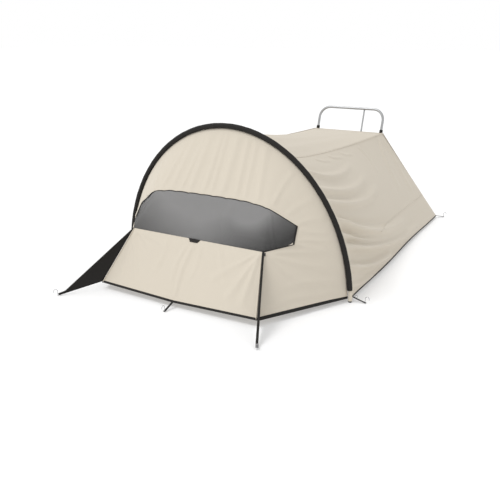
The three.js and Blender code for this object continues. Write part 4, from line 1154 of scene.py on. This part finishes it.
black_plastic = moulded("black_plastic", (0.022, 0.022, 0.024, 1), 0.5, 900.0)
pole_plastic = moulded("pole_plastic", (0.035, 0.036, 0.038, 1), 0.4, 600.0)
black_rubber = moulded("black_rubber", (0.014, 0.014, 0.015, 1), 0.8, 700.0)
halfway_up = SIDE_STEPS[0] // 2
side_normal = grid_normals(side_grid, side_outward)[halfway_up, 2]
half_share = halfway_up / side_columns
zip_offset = on_grid(side_grid, half_share, 0.02) - on_grid(side_grid, half_share, 0)
zip_offset *= ZIP_INSET / np.linalg.norm(zip_offset)
zip_foot = FRONT_CORNER + (FLAP_TOP - FRONT_CORNER) * ZIP_FOOT_SHARE
zip_line = straight([zip_foot, FLAP_TOP], [30]) + zip_offset
for side, flip in SIDES.items():
    lifted = (zip_line + side_normal * ZIP_LIFT) * flip
    tape = strip("zip_tape_" + side, lifted, side_normal * flip, ZIP_TAPE_WIDTHS, ZIP_TAPE_THICKNESS,
                 black_cloth)
    cover_piece(tape, "shelter", "black_cloth")
    teeth = row_along("zip_teeth_" + side, [lifted + side_normal * flip * TOOTH_LIFT], tooth_row,
                      TOOTH_SPACING, TOOTH_LENGTH, TOOTH_RADIUS, black_plastic)
    cover_piece(teeth, "shelter", "black_plastic")


# ---- Pole sleeve and hoop pole -------------------------------------------------------------
# The hoop is one bent fibreglass pole in a black sleeve that is sewn over the cover from side
# to side. Its ends pass from the sleeve into short canvas pockets and stand in moulded cups.
CUP_FLOOR = 0.0064
SLEEVE_RISE = 0.034
SLEEVE_PUCKER = 0.0006
POCKET_LOW, POCKET_HIGH = 0.010, 0.090
POCKET_RADIUS, POCKET_PUCKER = 0.0134, 0.0003
CUP_PROFILE = [(0, 0.0105), (0.001, 0.0116), (0.003, 0.012), (0.030, 0.0118), (0.031, 0.0108),
               (0.034, 0.0108), (0.035, 0.0118), (0.043, 0.0118), (0.045, 0.0106)]

pole_start = math.asin(CUP_FLOOR / HOOP_HEIGHT)
pole_angles = np.linspace(pole_start, math.pi - pole_start, 181)
pole_line = np.array([hoop_point(angle) for angle in pole_angles])
hoop_pole = tube("hoop_pole_rod", pole_line, POLE_RADIUS, pole_plastic, 14)
cover_piece(hoop_pole, "shelter", "pole_plastic", "hoop_pole")

sleeve_start = math.asin((SLEEVE_START + SLEEVE_RISE) / HOOP_HEIGHT)
sleeve_angles = np.linspace(sleeve_start, math.pi - sleeve_start, 361)
sleeve_line = np.array([hoop_point(angle) for angle in sleeve_angles])
pucker = np.sin(sleeve_angles * 61.0) * np.sin(sleeve_angles * 23.0 + 0.6)
sleeve_radii = SLEEVE_RADIUS + SLEEVE_PUCKER * pucker
sleeve = tube("pole_sleeve_cloth", sleeve_line, sleeve_radii, black_cloth, 20)
cover_piece(sleeve, "shelter", "black_cloth", "pole_sleeve")

for side, flip in SIDES.items():
    foot = at(HOOP_HALF_WIDTH, 0, 0) * flip
    heights = np.linspace(POCKET_LOW, POCKET_HIGH, 20)
    pocket = tube("pole_pocket_" + side, [foot + [0, 0, z] for z in heights],
                  POCKET_RADIUS + POCKET_PUCKER * np.sin(heights * 400), canvas, 24)
    cover_piece(pocket, "shelter", "cover_canvas")
    cup = tube("hoop_cup_body_" + side, [foot + [0, 0, z] for z, _ in CUP_PROFILE],
               [radius for _, radius in CUP_PROFILE], black_plastic, 28)
    placed(cup, "shelter", "black_plastic", "hoop_cup_" + side)


# ---- Guy wings, straps and pegs ------------------------------------------------------------
# A black cloth wing at each front corner spreads the pull from the corner ridge to its peg.
# Flat straps hold the hoop's feet, the tail corners and the door's mid hem to wire pegs.
WING_PEG = at(0.760, -0.904, 0.0)
WING_TIP_SHARE = 0.83
WING_LOW_EDGE = 0.0015
STRAP_WIDTH = 0.016
STRAP_THICKNESS = 0.0018
STRAP_PEG_HEIGHT = 0.006
HOOP_STRAP_LENGTH = 0.086
TAIL_STRAP_LENGTH = 0.072
FRONT_PEG = at(0, -0.748, 0.0)
PEG_RADIUS = 0.0020
PEG_STRAIGHT = 0.032
PEG_HOOK = 0.013
PEG_TAIL = 0.008
RING_RADIUS, RING_WIRE = 0.009, 0.0013
RING_OUT, RING_RISE = 0.026, 0.004
WING_BELLY = 0.006
WING_EDGE_WIDTHS = (0.010, 0.016)
HEM_CLEAR = 0.003
STEEL_COLOUR = (0.62, 0.62, 0.63, 1)


def brushed_metal_group():
    """Drawn and polished metal: faint streaks and cloudy patches, as colour, gloss and relief."""
    group, inlet, outlet = new_group(
        "drawn_metal",
        [("Place", "NodeSocketVector", None), ("Colour", "NodeSocketColor", (0.6, 0.6, 0.6, 1)),
         ("Roughness", "NodeSocketFloat", 0.3), ("Cloudiness", "NodeSocketFloat", 0.2)],
        [("Colour", "NodeSocketColor"), ("Roughness", "NodeSocketFloat"), ("Height", "NodeSocketFloat")],
    )
    clouds = noise(group, inlet.outputs["Place"], 9.0, 4.0)
    scratches = noise(group, inlet.outputs["Place"], 420.0, 2.0)
    darker = group.nodes.new("ShaderNodeMix")
    darker.data_type = "RGBA"
    darker.blend_type = "MULTIPLY"
    darker.inputs["Factor"].default_value = 1.0
    group.links.new(inlet.outputs["Colour"], darker.inputs[6])
    darker.inputs[7].default_value = (0.80, 0.80, 0.81, 1)
    colour = mix_colour(group, clouds, inlet.outputs["Colour"], darker.outputs[2])
    group.links.new(colour, outlet.inputs["Colour"])
    uneven = math_node(group, "SUBTRACT", clouds, 0.5)
    spread = math_node(group, "MULTIPLY", uneven, inlet.outputs["Cloudiness"])
    rough = math_node(group, "ADD", inlet.outputs["Roughness"], spread)
    group.links.new(rough, outlet.inputs["Roughness"])
    group.links.new(scratches, outlet.inputs["Height"])
    return group


drawn_metal = brushed_metal_group()


def metal_finish(name, colour, roughness, cloudiness):
    material, shader = principled(name, roughness, 1.0)
    tree = material.node_tree
    place = tree.nodes.new("ShaderNodeTexCoord")
    metal = tree.nodes.new("ShaderNodeGroup")
    metal.node_tree = drawn_metal
    tree.links.new(place.outputs["Object"], metal.inputs["Place"])
    metal.inputs["Colour"].default_value = colour
    metal.inputs["Roughness"].default_value = roughness
    metal.inputs["Cloudiness"].default_value = cloudiness
    tree.links.new(metal.outputs["Colour"], shader.inputs["Base Color"])
    tree.links.new(metal.outputs["Roughness"], shader.inputs["Roughness"])
    add_relief(tree, shader, metal.outputs["Height"], 0.12, 0.0002)
    return material


peg_steel = metal_finish("peg_steel", STEEL_COLOUR, 0.25, 0.15)


def unit(vector):
    return np.asarray(vector, float) / np.linalg.norm(vector)


def peg(name, foot, outward):
    """A wire peg with an open hook at its top that points away along the ground."""
    outward = unit([outward[0], outward[1], 0.0])
    turns = np.linspace(math.pi, 0, 15)
    hook = [foot + outward * PEG_HOOK * (1 + math.cos(t)) + [0, 0, PEG_STRAIGHT + PEG_HOOK * math.sin(t)]
            for t in turns]
    rise = [foot + [0, 0, z] for z in np.linspace(0, PEG_STRAIGHT, 6)[:-1]]
    drop = [foot + outward * 2 * PEG_HOOK + [0, 0, PEG_STRAIGHT - z] for z in (PEG_TAIL / 2, PEG_TAIL)]
    line = np.array(rise + hook + drop)
    radii = np.full(len(line), PEG_RADIUS)
    radii[0] = radii[-1] = 0.6 * PEG_RADIUS
    wire = tube(name + "_wire", line, radii, peg_steel, 12)
    placed(wire, "shelter", "peg_steel", name)


def strap(name, start, foot):
    """A flat strap from the hem down to its peg."""
    end = np.array([foot[0], foot[1], STRAP_PEG_HEIGHT])
    along = unit(end - start)
    across = unit([-along[1], along[0], 0.0])
    slack = np.linspace(0, 1, 12)[:, None]
    line = start + (end + along * 0.006 - start) * slack
    line[:, 2] -= 0.0015 * np.sin(np.pi * slack[:, 0])
    webbing = strip(name + "_webbing", line, unit(np.cross(along, across)), STRAP_WIDTH,
                    STRAP_THICKNESS, black_cloth, 0.008)
    cover_piece(webbing, "shelter", "black_cloth", name)


def ring(name, centre, axis, radius, wire):
    """A closed wire ring round an axis."""
    axis = unit(axis)
    first = unit(np.cross(axis, (0.3, 0.2, 0.9)))
    second = np.cross(axis, first)
    points, faces = [], []
    steps, sides = 28, 10
    for i in range(steps):
        turn = 2 * math.pi * i / steps
        out = math.cos(turn) * first + math.sin(turn) * second
        for j in range(sides):
            bend = 2 * math.pi * j / sides
            away = radius + wire * math.cos(bend)
            points.append(centre + out * away + axis * wire * math.sin(bend))
            i2, j2 = (i + 1) % steps, (j + 1) % sides
            faces.append((i * sides + j, i2 * sides + j, i2 * sides + j2, i * sides + j2))
    if enclosed(points, faces) < 0:
        faces = [face[::-1] for face in faces]
    piece = mesh_object(name, points, faces, peg_steel)
    smooth_faces(piece)
    cloth_map(piece, np.zeros((len(points), 2)))
    return piece


for side, flip in SIDES.items():
    corner, top, wing_peg = FRONT_CORNER * flip, FLAP_TOP * flip, WING_PEG * flip
    outward = unit((wing_peg - corner) * [1, 1, 0])
    peg("peg_wing_" + side, wing_peg, outward)
    strap_end = wing_peg - outward * 2 * PEG_RADIUS
    clear = outward * 0.0036
    low_end = np.array([strap_end[0], strap_end[1], WING_LOW_EDGE])
    high_end = np.array([strap_end[0], strap_end[1], WING_LOW_EDGE + 0.7 * STRAP_WIDTH])
    tip = corner + (wing_peg - corner) * WING_TIP_SHARE
    tip_high = np.array([tip[0], tip[1], tip[2] + STRAP_WIDTH])
    lower = straight([corner + clear, low_end], [60])
    upper = np.vstack([straight([top + clear, tip_high], [50]), straight([tip_high, high_end], [10])[1:]])
    wing_grid = ruled(lower, upper, 30)
    wing_normal = unit(np.cross(outward, top - corner))
    spread = np.linspace(0, 1, 61)[:, None] * np.ones((1, 30))
    rise = np.ones((61, 1)) * np.linspace(0, 1, 30)[None, :]
    belly = WING_BELLY * np.sin(math.pi * np.clip(spread / WING_TIP_SHARE, 0, 1)) * np.sin(math.pi * rise)
    wing_grid += wing_normal * belly[..., None]
    wing = cloth_from_grid("guy_wing_cloth_" + side, wing_grid, wing_normal, black_cloth, 0.0012)
    cover_piece(wing, "shelter", "black_cloth", "guy_wing_" + side)
    edge_up = unit(np.cross(wing_normal, upper[10] - upper[0]))
    edge_up = edge_up * np.sign(edge_up[2])
    edge = strip("guy_wing_binding_" + side, upper, edge_up, WING_EDGE_WIDTHS,
                 BINDING_THICKNESS, black_cloth, 0.01)
    cover_piece(edge, "shelter", "black_cloth")

    sideways = unit(np.array([1.0, 0.06, 0.0]) * flip)
    hem = HOOP_HEM * flip + sideways * HEM_CLEAR
    hoop_peg = (hem + sideways * HOOP_STRAP_LENGTH) * [1, 1, 0]
    strap("hoop_strap_" + side, hem, hoop_peg)
    peg("peg_hoop_" + side, hoop_peg, sideways)
    ring_centre = hem + sideways * RING_OUT + [0, 0, RING_RISE]
    loop = ring("hoop_strap_ring_" + side, ring_centre, (0, 1, 0.1), RING_RADIUS, RING_WIRE)
    placed(loop, "shelter", "peg_steel")

    diagonal = unit(np.array([1.0, 1.0, 0.0]) * flip)
    tail_hem_point = TAIL_CORNER * flip + diagonal * HEM_CLEAR
    tail_peg = (tail_hem_point + diagonal * TAIL_STRAP_LENGTH) * [1, 1, 0]
    strap("tail_strap_" + side, tail_hem_point, tail_peg)
    peg("peg_tail_" + side, tail_peg, diagonal)

strap("front_strap", FRONT_HEM_DIP - [0, HEM_CLEAR, 0], FRONT_PEG)
peg("peg_front", FRONT_PEG, (0, -1, 0))


# ---- Foot bow ------------------------------------------------------------------------------
# One bent aluminium tube that stands on the cot's side tubes and passes up through the cover.
# A crossbar and an off-centre stay brace it, and elastic cuffs close the cover round it.
ALUMINIUM_COLOUR = (0.50, 0.505, 0.51, 1)
TUBE_RADIUS = 0.011
BOW_LEAN = math.radians(16.1)
BOW_LENGTH = 0.701
BOW_CORNER = 0.096
BOW_TAIL = 0.012
CUFF_HEIGHT = 0.805
CUFF_LENGTH = 0.050
CROSSBAR_BELOW_CUFF = 0.038
CROSSBAR_RADIUS = 0.008
STAY_OFFSET = 0.119
CUFF_RADIUS, CUFF_END_RADIUS = 0.0138, 0.0128
CUFF_GATHER, CUFF_GATHER_SPACING = 0.0012, 0.0125
COT_HALF_WIDTH = (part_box("head_frame")[1].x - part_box("head_frame")[0].x) / 2 - TUBE_RADIUS
saddle_low, saddle_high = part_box("bow_saddle_right")
DECK_HEIGHT = saddle_low.z + TUBE_RADIUS
BOW_PIVOT_RISE = 0.037
bow_foot = np.array([0.0, (saddle_low.y + saddle_high.y) / 2, DECK_HEIGHT + BOW_PIVOT_RISE])
bow_up = np.array([0.0, math.sin(BOW_LEAN), math.cos(BOW_LEAN)])

cot_aluminium = metal_finish("cot_aluminium", ALUMINIUM_COLOUR, 0.42, 0.12)


def bent(corners, radius, steps=12):
    """A path of straight runs with round corners of one radius."""
    corners = [np.array(corner, float) for corner in corners]
    line = [corners[0]]
    for before, corner, after in zip(corners, corners[1:], corners[2:]):
        back, ahead = unit(before - corner), unit(after - corner)
        half = math.acos(np.clip(back @ ahead, -1, 1)) / 2
        centre = corner + unit(back + ahead) * radius / math.sin(half)
        start = corner + back * radius / math.tan(half) - centre
        end = corner + ahead * radius / math.tan(half) - centre
        sweep = math.pi - 2 * half
        for k in range(steps + 1):
            a = math.sin(sweep * (1 - k / steps)) / math.sin(sweep)
            b = math.sin(sweep * k / steps) / math.sin(sweep)
            line.append(centre + start * a + end * b)
    line.append(corners[-1])
    return np.array(line)


def dressed(line, radius):
    """Radii along a tube whose ends are slightly rounded over."""
    radii = np.full(len(line), radius)
    radii[0] = radii[-1] = radius * 0.86
    return radii


def with_ends(line, length=0.0015):
    """Adds a close point just inside each end of a line, for a rounded end."""
    first = line[0] + unit(line[1] - line[0]) * length
    last = line[-1] + unit(line[-2] - line[-1]) * length
    return np.vstack([line[:1], [first], line[1:-1], [last], line[-1:]])


def on_bow(x, along):
    return bow_foot + [x, 0, 0] + bow_up * along


def cot_tube(name, line, radius, body, *nodes):
    line = with_ends(np.asarray(line, float))
    piece = tube(name, line, dressed(line, radius), cot_aluminium, 24)
    placed(piece, body, "cot_aluminium", *nodes)


bow_corners = [on_bow(COT_HALF_WIDTH, -BOW_TAIL), on_bow(COT_HALF_WIDTH, BOW_LENGTH),
               on_bow(-COT_HALF_WIDTH, BOW_LENGTH), on_bow(-COT_HALF_WIDTH, -BOW_TAIL)]
bow_line = bent(bow_corners, BOW_CORNER, 16)
cot_tube("foot_bow_tube", bow_line, TUBE_RADIUS, "bow", "foot_bow")
cuff_along = (CUFF_HEIGHT - bow_foot[2]) / math.cos(BOW_LEAN)
bar_along = cuff_along - CROSSBAR_BELOW_CUFF
bar_reach = COT_HALF_WIDTH - TUBE_RADIUS
bar_line = [on_bow(-bar_reach, bar_along), on_bow(bar_reach, bar_along)]
cot_tube("bow_crossbar_tube", bar_line, CROSSBAR_RADIUS, "bow", "bow_crossbar")
stay_ends = [(bar_along + CROSSBAR_RADIUS, 0.0078), (bar_along + 0.050, 0.0078),
             (bar_along + 0.056, 0.0070),
             (BOW_LENGTH - 0.024, 0.0070), (BOW_LENGTH - 0.0108, 0.0074)]
stay = tube("bow_stay_tube", [on_bow(STAY_OFFSET, along) for along, _ in stay_ends],
            [radius for _, radius in stay_ends], cot_aluminium, 20)
placed(stay, "bow", "cot_aluminium", "bow_stay")

cuff_marks = np.linspace(-CUFF_LENGTH / 2, CUFF_LENGTH / 2, 25)
gathers = np.cos(cuff_marks * 2 * math.pi / CUFF_GATHER_SPACING) ** 2
cuff_radii = CUFF_RADIUS + CUFF_GATHER * gathers
cuff_radii[0] = cuff_radii[-1] = CUFF_END_RADIUS
for side, flip in SIDES.items():
    line = [on_bow(COT_HALF_WIDTH * flip[0], cuff_along + mark) for mark in cuff_marks]
    cuff = tube("bow_cuff_cloth_" + side, line, cuff_radii, black_cloth, 24)
    cover_piece(cuff, "shelter", "black_cloth", "bow_cuff_" + side)


# ---- Cot frame -----------------------------------------------------------------------------
# Two bent aluminium halves, joined by plastic couplers on the side tubes. The folding legs and
# the foot bow hang on riveted brackets and saddles.
HEAD_END, FOOT_END = HOOP_Y + 0.030, HOOP_Y + 1.930
FRAME_JOINT = HOOP_Y + 0.960
FRAME_JOINT_GAP = 0.008
FRAME_CORNER = 0.060
COUPLER_LENGTH = 0.080
BACKREST_HINGE = HOOP_Y + 0.700
BACKREST_HALF_WIDTH = 0.268
BACKREST_RADIUS = 0.009


def frame_half(near, far):
    return bent([(COT_HALF_WIDTH, near, DECK_HEIGHT), (COT_HALF_WIDTH, far, DECK_HEIGHT),
                 (-COT_HALF_WIDTH, far, DECK_HEIGHT), (-COT_HALF_WIDTH, near, DECK_HEIGHT)], FRAME_CORNER)


head_half = frame_half(FRAME_JOINT - FRAME_JOINT_GAP / 2, HEAD_END)
foot_half = frame_half(FRAME_JOINT + FRAME_JOINT_GAP / 2, FOOT_END)
cot_tube("head_frame_tube", head_half, TUBE_RADIUS, "bed", "head_frame")
cot_tube("foot_frame_tube", foot_half, TUBE_RADIUS, "bed", "foot_frame")
hinge_reach = COT_HALF_WIDTH - TUBE_RADIUS
hinge_line = [(x, BACKREST_HINGE, DECK_HEIGHT) for x in (-hinge_reach, hinge_reach)]
cot_tube("backrest_hinge_tube", hinge_line, BACKREST_RADIUS, "bed", "backrest_pivot_tube")
# Half of a coupler from its middle outwards: plain, a raised ring, plain, and a rounded end
coupler_half = [(0.22, 0.0138), (0.24, 0.0144), (0.28, 0.0144), (0.30, 0.0138), (0.48, 0.0136),
                (0.5, 0.0124)]
coupler_marks = [(-mark, radius) for mark, radius in coupler_half[::-1]] + coupler_half
coupler_radii = [radius for _, radius in coupler_marks]
for side, flip in SIDES.items():
    line = [(COT_HALF_WIDTH * flip[0], FRAME_JOINT + mark * COUPLER_LENGTH, DECK_HEIGHT)
            for mark, _ in coupler_marks]
    coupler = tube("frame_coupler_sleeve_" + side, line, coupler_radii, black_plastic, 28)
    placed(coupler, "bed", "black_plastic", "frame_coupler_" + side)
for name in ("head_leg_bracket", "mid_leg_bracket", "foot_leg_bracket", "bow_saddle_right",
             "bow_saddle_left"):
    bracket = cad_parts[name]
    for slot in bracket.material_slots:
        slot.material = cot_aluminium


# ---- Sling and backrest --------------------------------------------------------------------
# The bed is a tight polyester sling with a hem round each side tube. Its head part is a separate
# frame with its own sling, which tilts up as a backrest.
SLING_COLOUR = (0.045, 0.052, 0.060, 1)
SLING_SHADE = (0.062, 0.070, 0.079, 1)
SLING_THICKNESS = 0.0014
SLING_SAG = 0.010
SLING_CLEAR = 0.0018
sling_cloth = cloth_finish("sling_cloth", SLING_COLOUR, SLING_SHADE, 0.0014, 0.7, 0.15, 0.0012)


def sling_grid(half_width, radius, near, far, rows):
    """Cloth across two tubes, with a hem that turns down round the outside of each."""
    hem = [(half_width + radius * math.cos(t), radius * math.sin(t))
           for t in np.radians(np.linspace(-150, 90, 17))]
    middle = []
    for x in np.linspace(half_width, -half_width, 33)[1:-1]:
        bowl = math.cos(math.pi * x / (2 * half_width)) ** 0.5
        middle.append((x, radius - SLING_SAG * bowl * (1 - abs(x / half_width) ** 6)))
    section = hem + middle + [(-x, z) for x, z in hem[::-1]]
    places = np.linspace(near, far, rows)
    return np.array([[(x, y, DECK_HEIGHT + z) for y in places] for x, z in section])


SLING_NEAR, SLING_FAR = HOOP_Y + 0.722, HOOP_Y + 1.850
REST_SLING_NEAR, REST_SLING_FAR = HOOP_Y + 0.110, HOOP_Y + 0.672
sling_points = sling_grid(COT_HALF_WIDTH, TUBE_RADIUS + SLING_CLEAR, SLING_NEAR, SLING_FAR, 110)
# The side hems are cut out round the middle legs' brackets and couplers, and round the saddles
gaps = [(FRAME_JOINT - 0.045, HOOP_Y + 1.075), (HOOP_Y + 1.660, HOOP_Y + 1.788)]
hem_faces = 18
sling_keep = np.ones((sling_points.shape[0] - 1, sling_points.shape[1] - 1), bool)
for j in range(sling_keep.shape[1]):
    y = (sling_points[0, j, 1] + sling_points[0, j + 1, 1]) / 2
    if any(low < y < high for low, high in gaps):
        sling_keep[:hem_faces, j] = sling_keep[-hem_faces:, j] = False
deck = cloth_from_grid("deck_sling_cloth", sling_points, (0, 0, 1), sling_cloth,
                       SLING_THICKNESS, sling_keep)
placed(deck, "bed", "sling_cloth", "deck_sling")

BACKREST_END = HOOP_Y + 0.052
BACKREST_CORNER = 0.050
EYE_LENGTH = 0.024
EYE_BORE, EYE_RADIUS = 0.0094, 0.0138
backrest_corners = [(BACKREST_HALF_WIDTH, BACKREST_HINGE, DECK_HEIGHT),
                    (BACKREST_HALF_WIDTH, BACKREST_END, DECK_HEIGHT),
                    (-BACKREST_HALF_WIDTH, BACKREST_END, DECK_HEIGHT),
                    (-BACKREST_HALF_WIDTH, BACKREST_HINGE, DECK_HEIGHT)]
backrest_line = bent(backrest_corners, BACKREST_CORNER)
backrest_tube = tube("backrest_loop", backrest_line, BACKREST_RADIUS, cot_aluminium, 20)


def eye(name, x, y, z):
    """A short sleeve round a tube that lies along X."""
    points, faces, sides = [], [], 28
    half = EYE_LENGTH / 2
    edge = 0.001
    outline = [(-half, EYE_BORE), (-half, EYE_RADIUS - edge), (-half + edge, EYE_RADIUS),
               (half - edge, EYE_RADIUS), (half, EYE_RADIUS - edge), (half, EYE_BORE)]
    for i in range(sides):
        turn = 2 * math.pi * i / sides
        for along, radius in outline:
            points.append((x + along, y + radius * math.cos(turn), z + radius * math.sin(turn)))
    count = len(outline)
    for i in range(sides):
        for j in range(count):
            i2, j2 = (i + 1) % sides, (j + 1) % count
            faces.append((i * count + j, i2 * count + j, i2 * count + j2, i * count + j2))
    if enclosed(points, faces) < 0:
        faces = [face[::-1] for face in faces]
    piece = mesh_object(name, points, faces, cot_aluminium)
    cloth_map(piece, np.zeros((len(points), 2)))
    return piece


eyes = [eye("backrest_eye", way * BACKREST_HALF_WIDTH, BACKREST_HINGE, DECK_HEIGHT) for way in (1, -1)]
backrest = joined("backrest_tube", [backrest_tube] + eyes)
placed(backrest, "backrest", "cot_aluminium", "backrest_frame")
rest_points = sling_grid(BACKREST_HALF_WIDTH, BACKREST_RADIUS + SLING_CLEAR, REST_SLING_NEAR,
                         REST_SLING_FAR, 60)
rest_sling = cloth_from_grid("backrest_sling_cloth", rest_points, (0, 0, 1), sling_cloth, SLING_THICKNESS)
placed(rest_sling, "backrest", "sling_cloth", "backrest_sling")


# ---- Folding legs --------------------------------------------------------------------------
# Three bent tube loops turn on pivot tubes under the frame. Rubber shoes with raised ribs are
# pushed over their cross runs where they meet the ground.
LEG_STATIONS = {"head": 0.250, "mid": 1.045, "foot": 1.690}
LEG_PIVOT_DROP = 0.028
LEG_HALF_WIDTH = 0.262
LEG_RADIUS = 0.010
LEG_CORNER = 0.045
SHOE_RADIUS = 0.014
SHOE_OFFSET = 0.170
SHOE_LENGTH = 0.050
SHOE_END, SHOE_WAIST, SHOE_RIB = 0.0118, 0.0130, 0.0139
SHOE_RIBS = 6
FIRST_RIB, RIB_SPACING = -0.38, 0.152
# Shares of the shoe's length with the radius there
shoe_marks = [(-0.5, SHOE_END), (-0.47, SHOE_WAIST)]
for rib in range(SHOE_RIBS):
    centre = FIRST_RIB + RIB_SPACING * rib
    shoe_marks += [(centre - 0.045, SHOE_WAIST), (centre - 0.03, SHOE_RIB),
                   (centre + 0.03, SHOE_RIB), (centre + 0.045, SHOE_WAIST)]
shoe_marks += [(0.47, SHOE_WAIST), (0.5, SHOE_END)]
shoe_radii = [radius for _, radius in shoe_marks]
for name, station in LEG_STATIONS.items():
    y, pivot = HOOP_Y + station, DECK_HEIGHT - LEG_PIVOT_DROP
    leg_line = bent([(LEG_HALF_WIDTH, y, pivot), (LEG_HALF_WIDTH, y, SHOE_RADIUS),
                     (-LEG_HALF_WIDTH, y, SHOE_RADIUS), (-LEG_HALF_WIDTH, y, pivot)], LEG_CORNER)
    loop = tube(name + "_leg_loop", leg_line, LEG_RADIUS, cot_aluminium, 20)
    eyes = [eye("leg_eye", way * LEG_HALF_WIDTH, y, pivot) for way in (1, -1)]
    legs = joined(name + "_leg_tube", [loop] + eyes)
    placed(legs, name + "_leg_pair", "cot_aluminium", name + "_legs")
    for side, flip in SIDES.items():
        line = [(SHOE_OFFSET * flip[0] + mark * SHOE_LENGTH, y, SHOE_RADIUS) for mark, _ in shoe_marks]
        shoe = tube(f"{name}_shoe_rubber_{side}", line, shoe_radii, black_rubber, 24)
        placed(shoe, name + "_leg_pair", "black_rubber", f"{name}_shoe_{side}")


# ---- Zip sliders ---------------------------------------------------------------------------
# Each slider is a small moulded body of black plastic with a fuller middle. It rests at the top
# of its zip and runs down the teeth as the door is opened.
SLIDER_PROFILE = [(-0.010, 0.0022), (-0.0085, 0.0038), (-0.002, 0.0042), (0.004, 0.0036),
                  (0.0085, 0.0032), (0.010, 0.0018)]

for side, flip in SIDES.items():
    low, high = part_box("zip_slider_" + side)
    centre = (np.array(low) + np.array(high)) / 2
    down = unit(FRONT_CORNER - FLAP_TOP) * flip
    line = [centre + down * mark for mark, _ in SLIDER_PROFILE]
    radii = [radius for _, radius in SLIDER_PROFILE]
    slider = tube("zip_slider_body_" + side, line, radii, black_plastic, 16)
    cover_piece(slider, "zip_" + side, "black_plastic", "zip_slider_" + side)
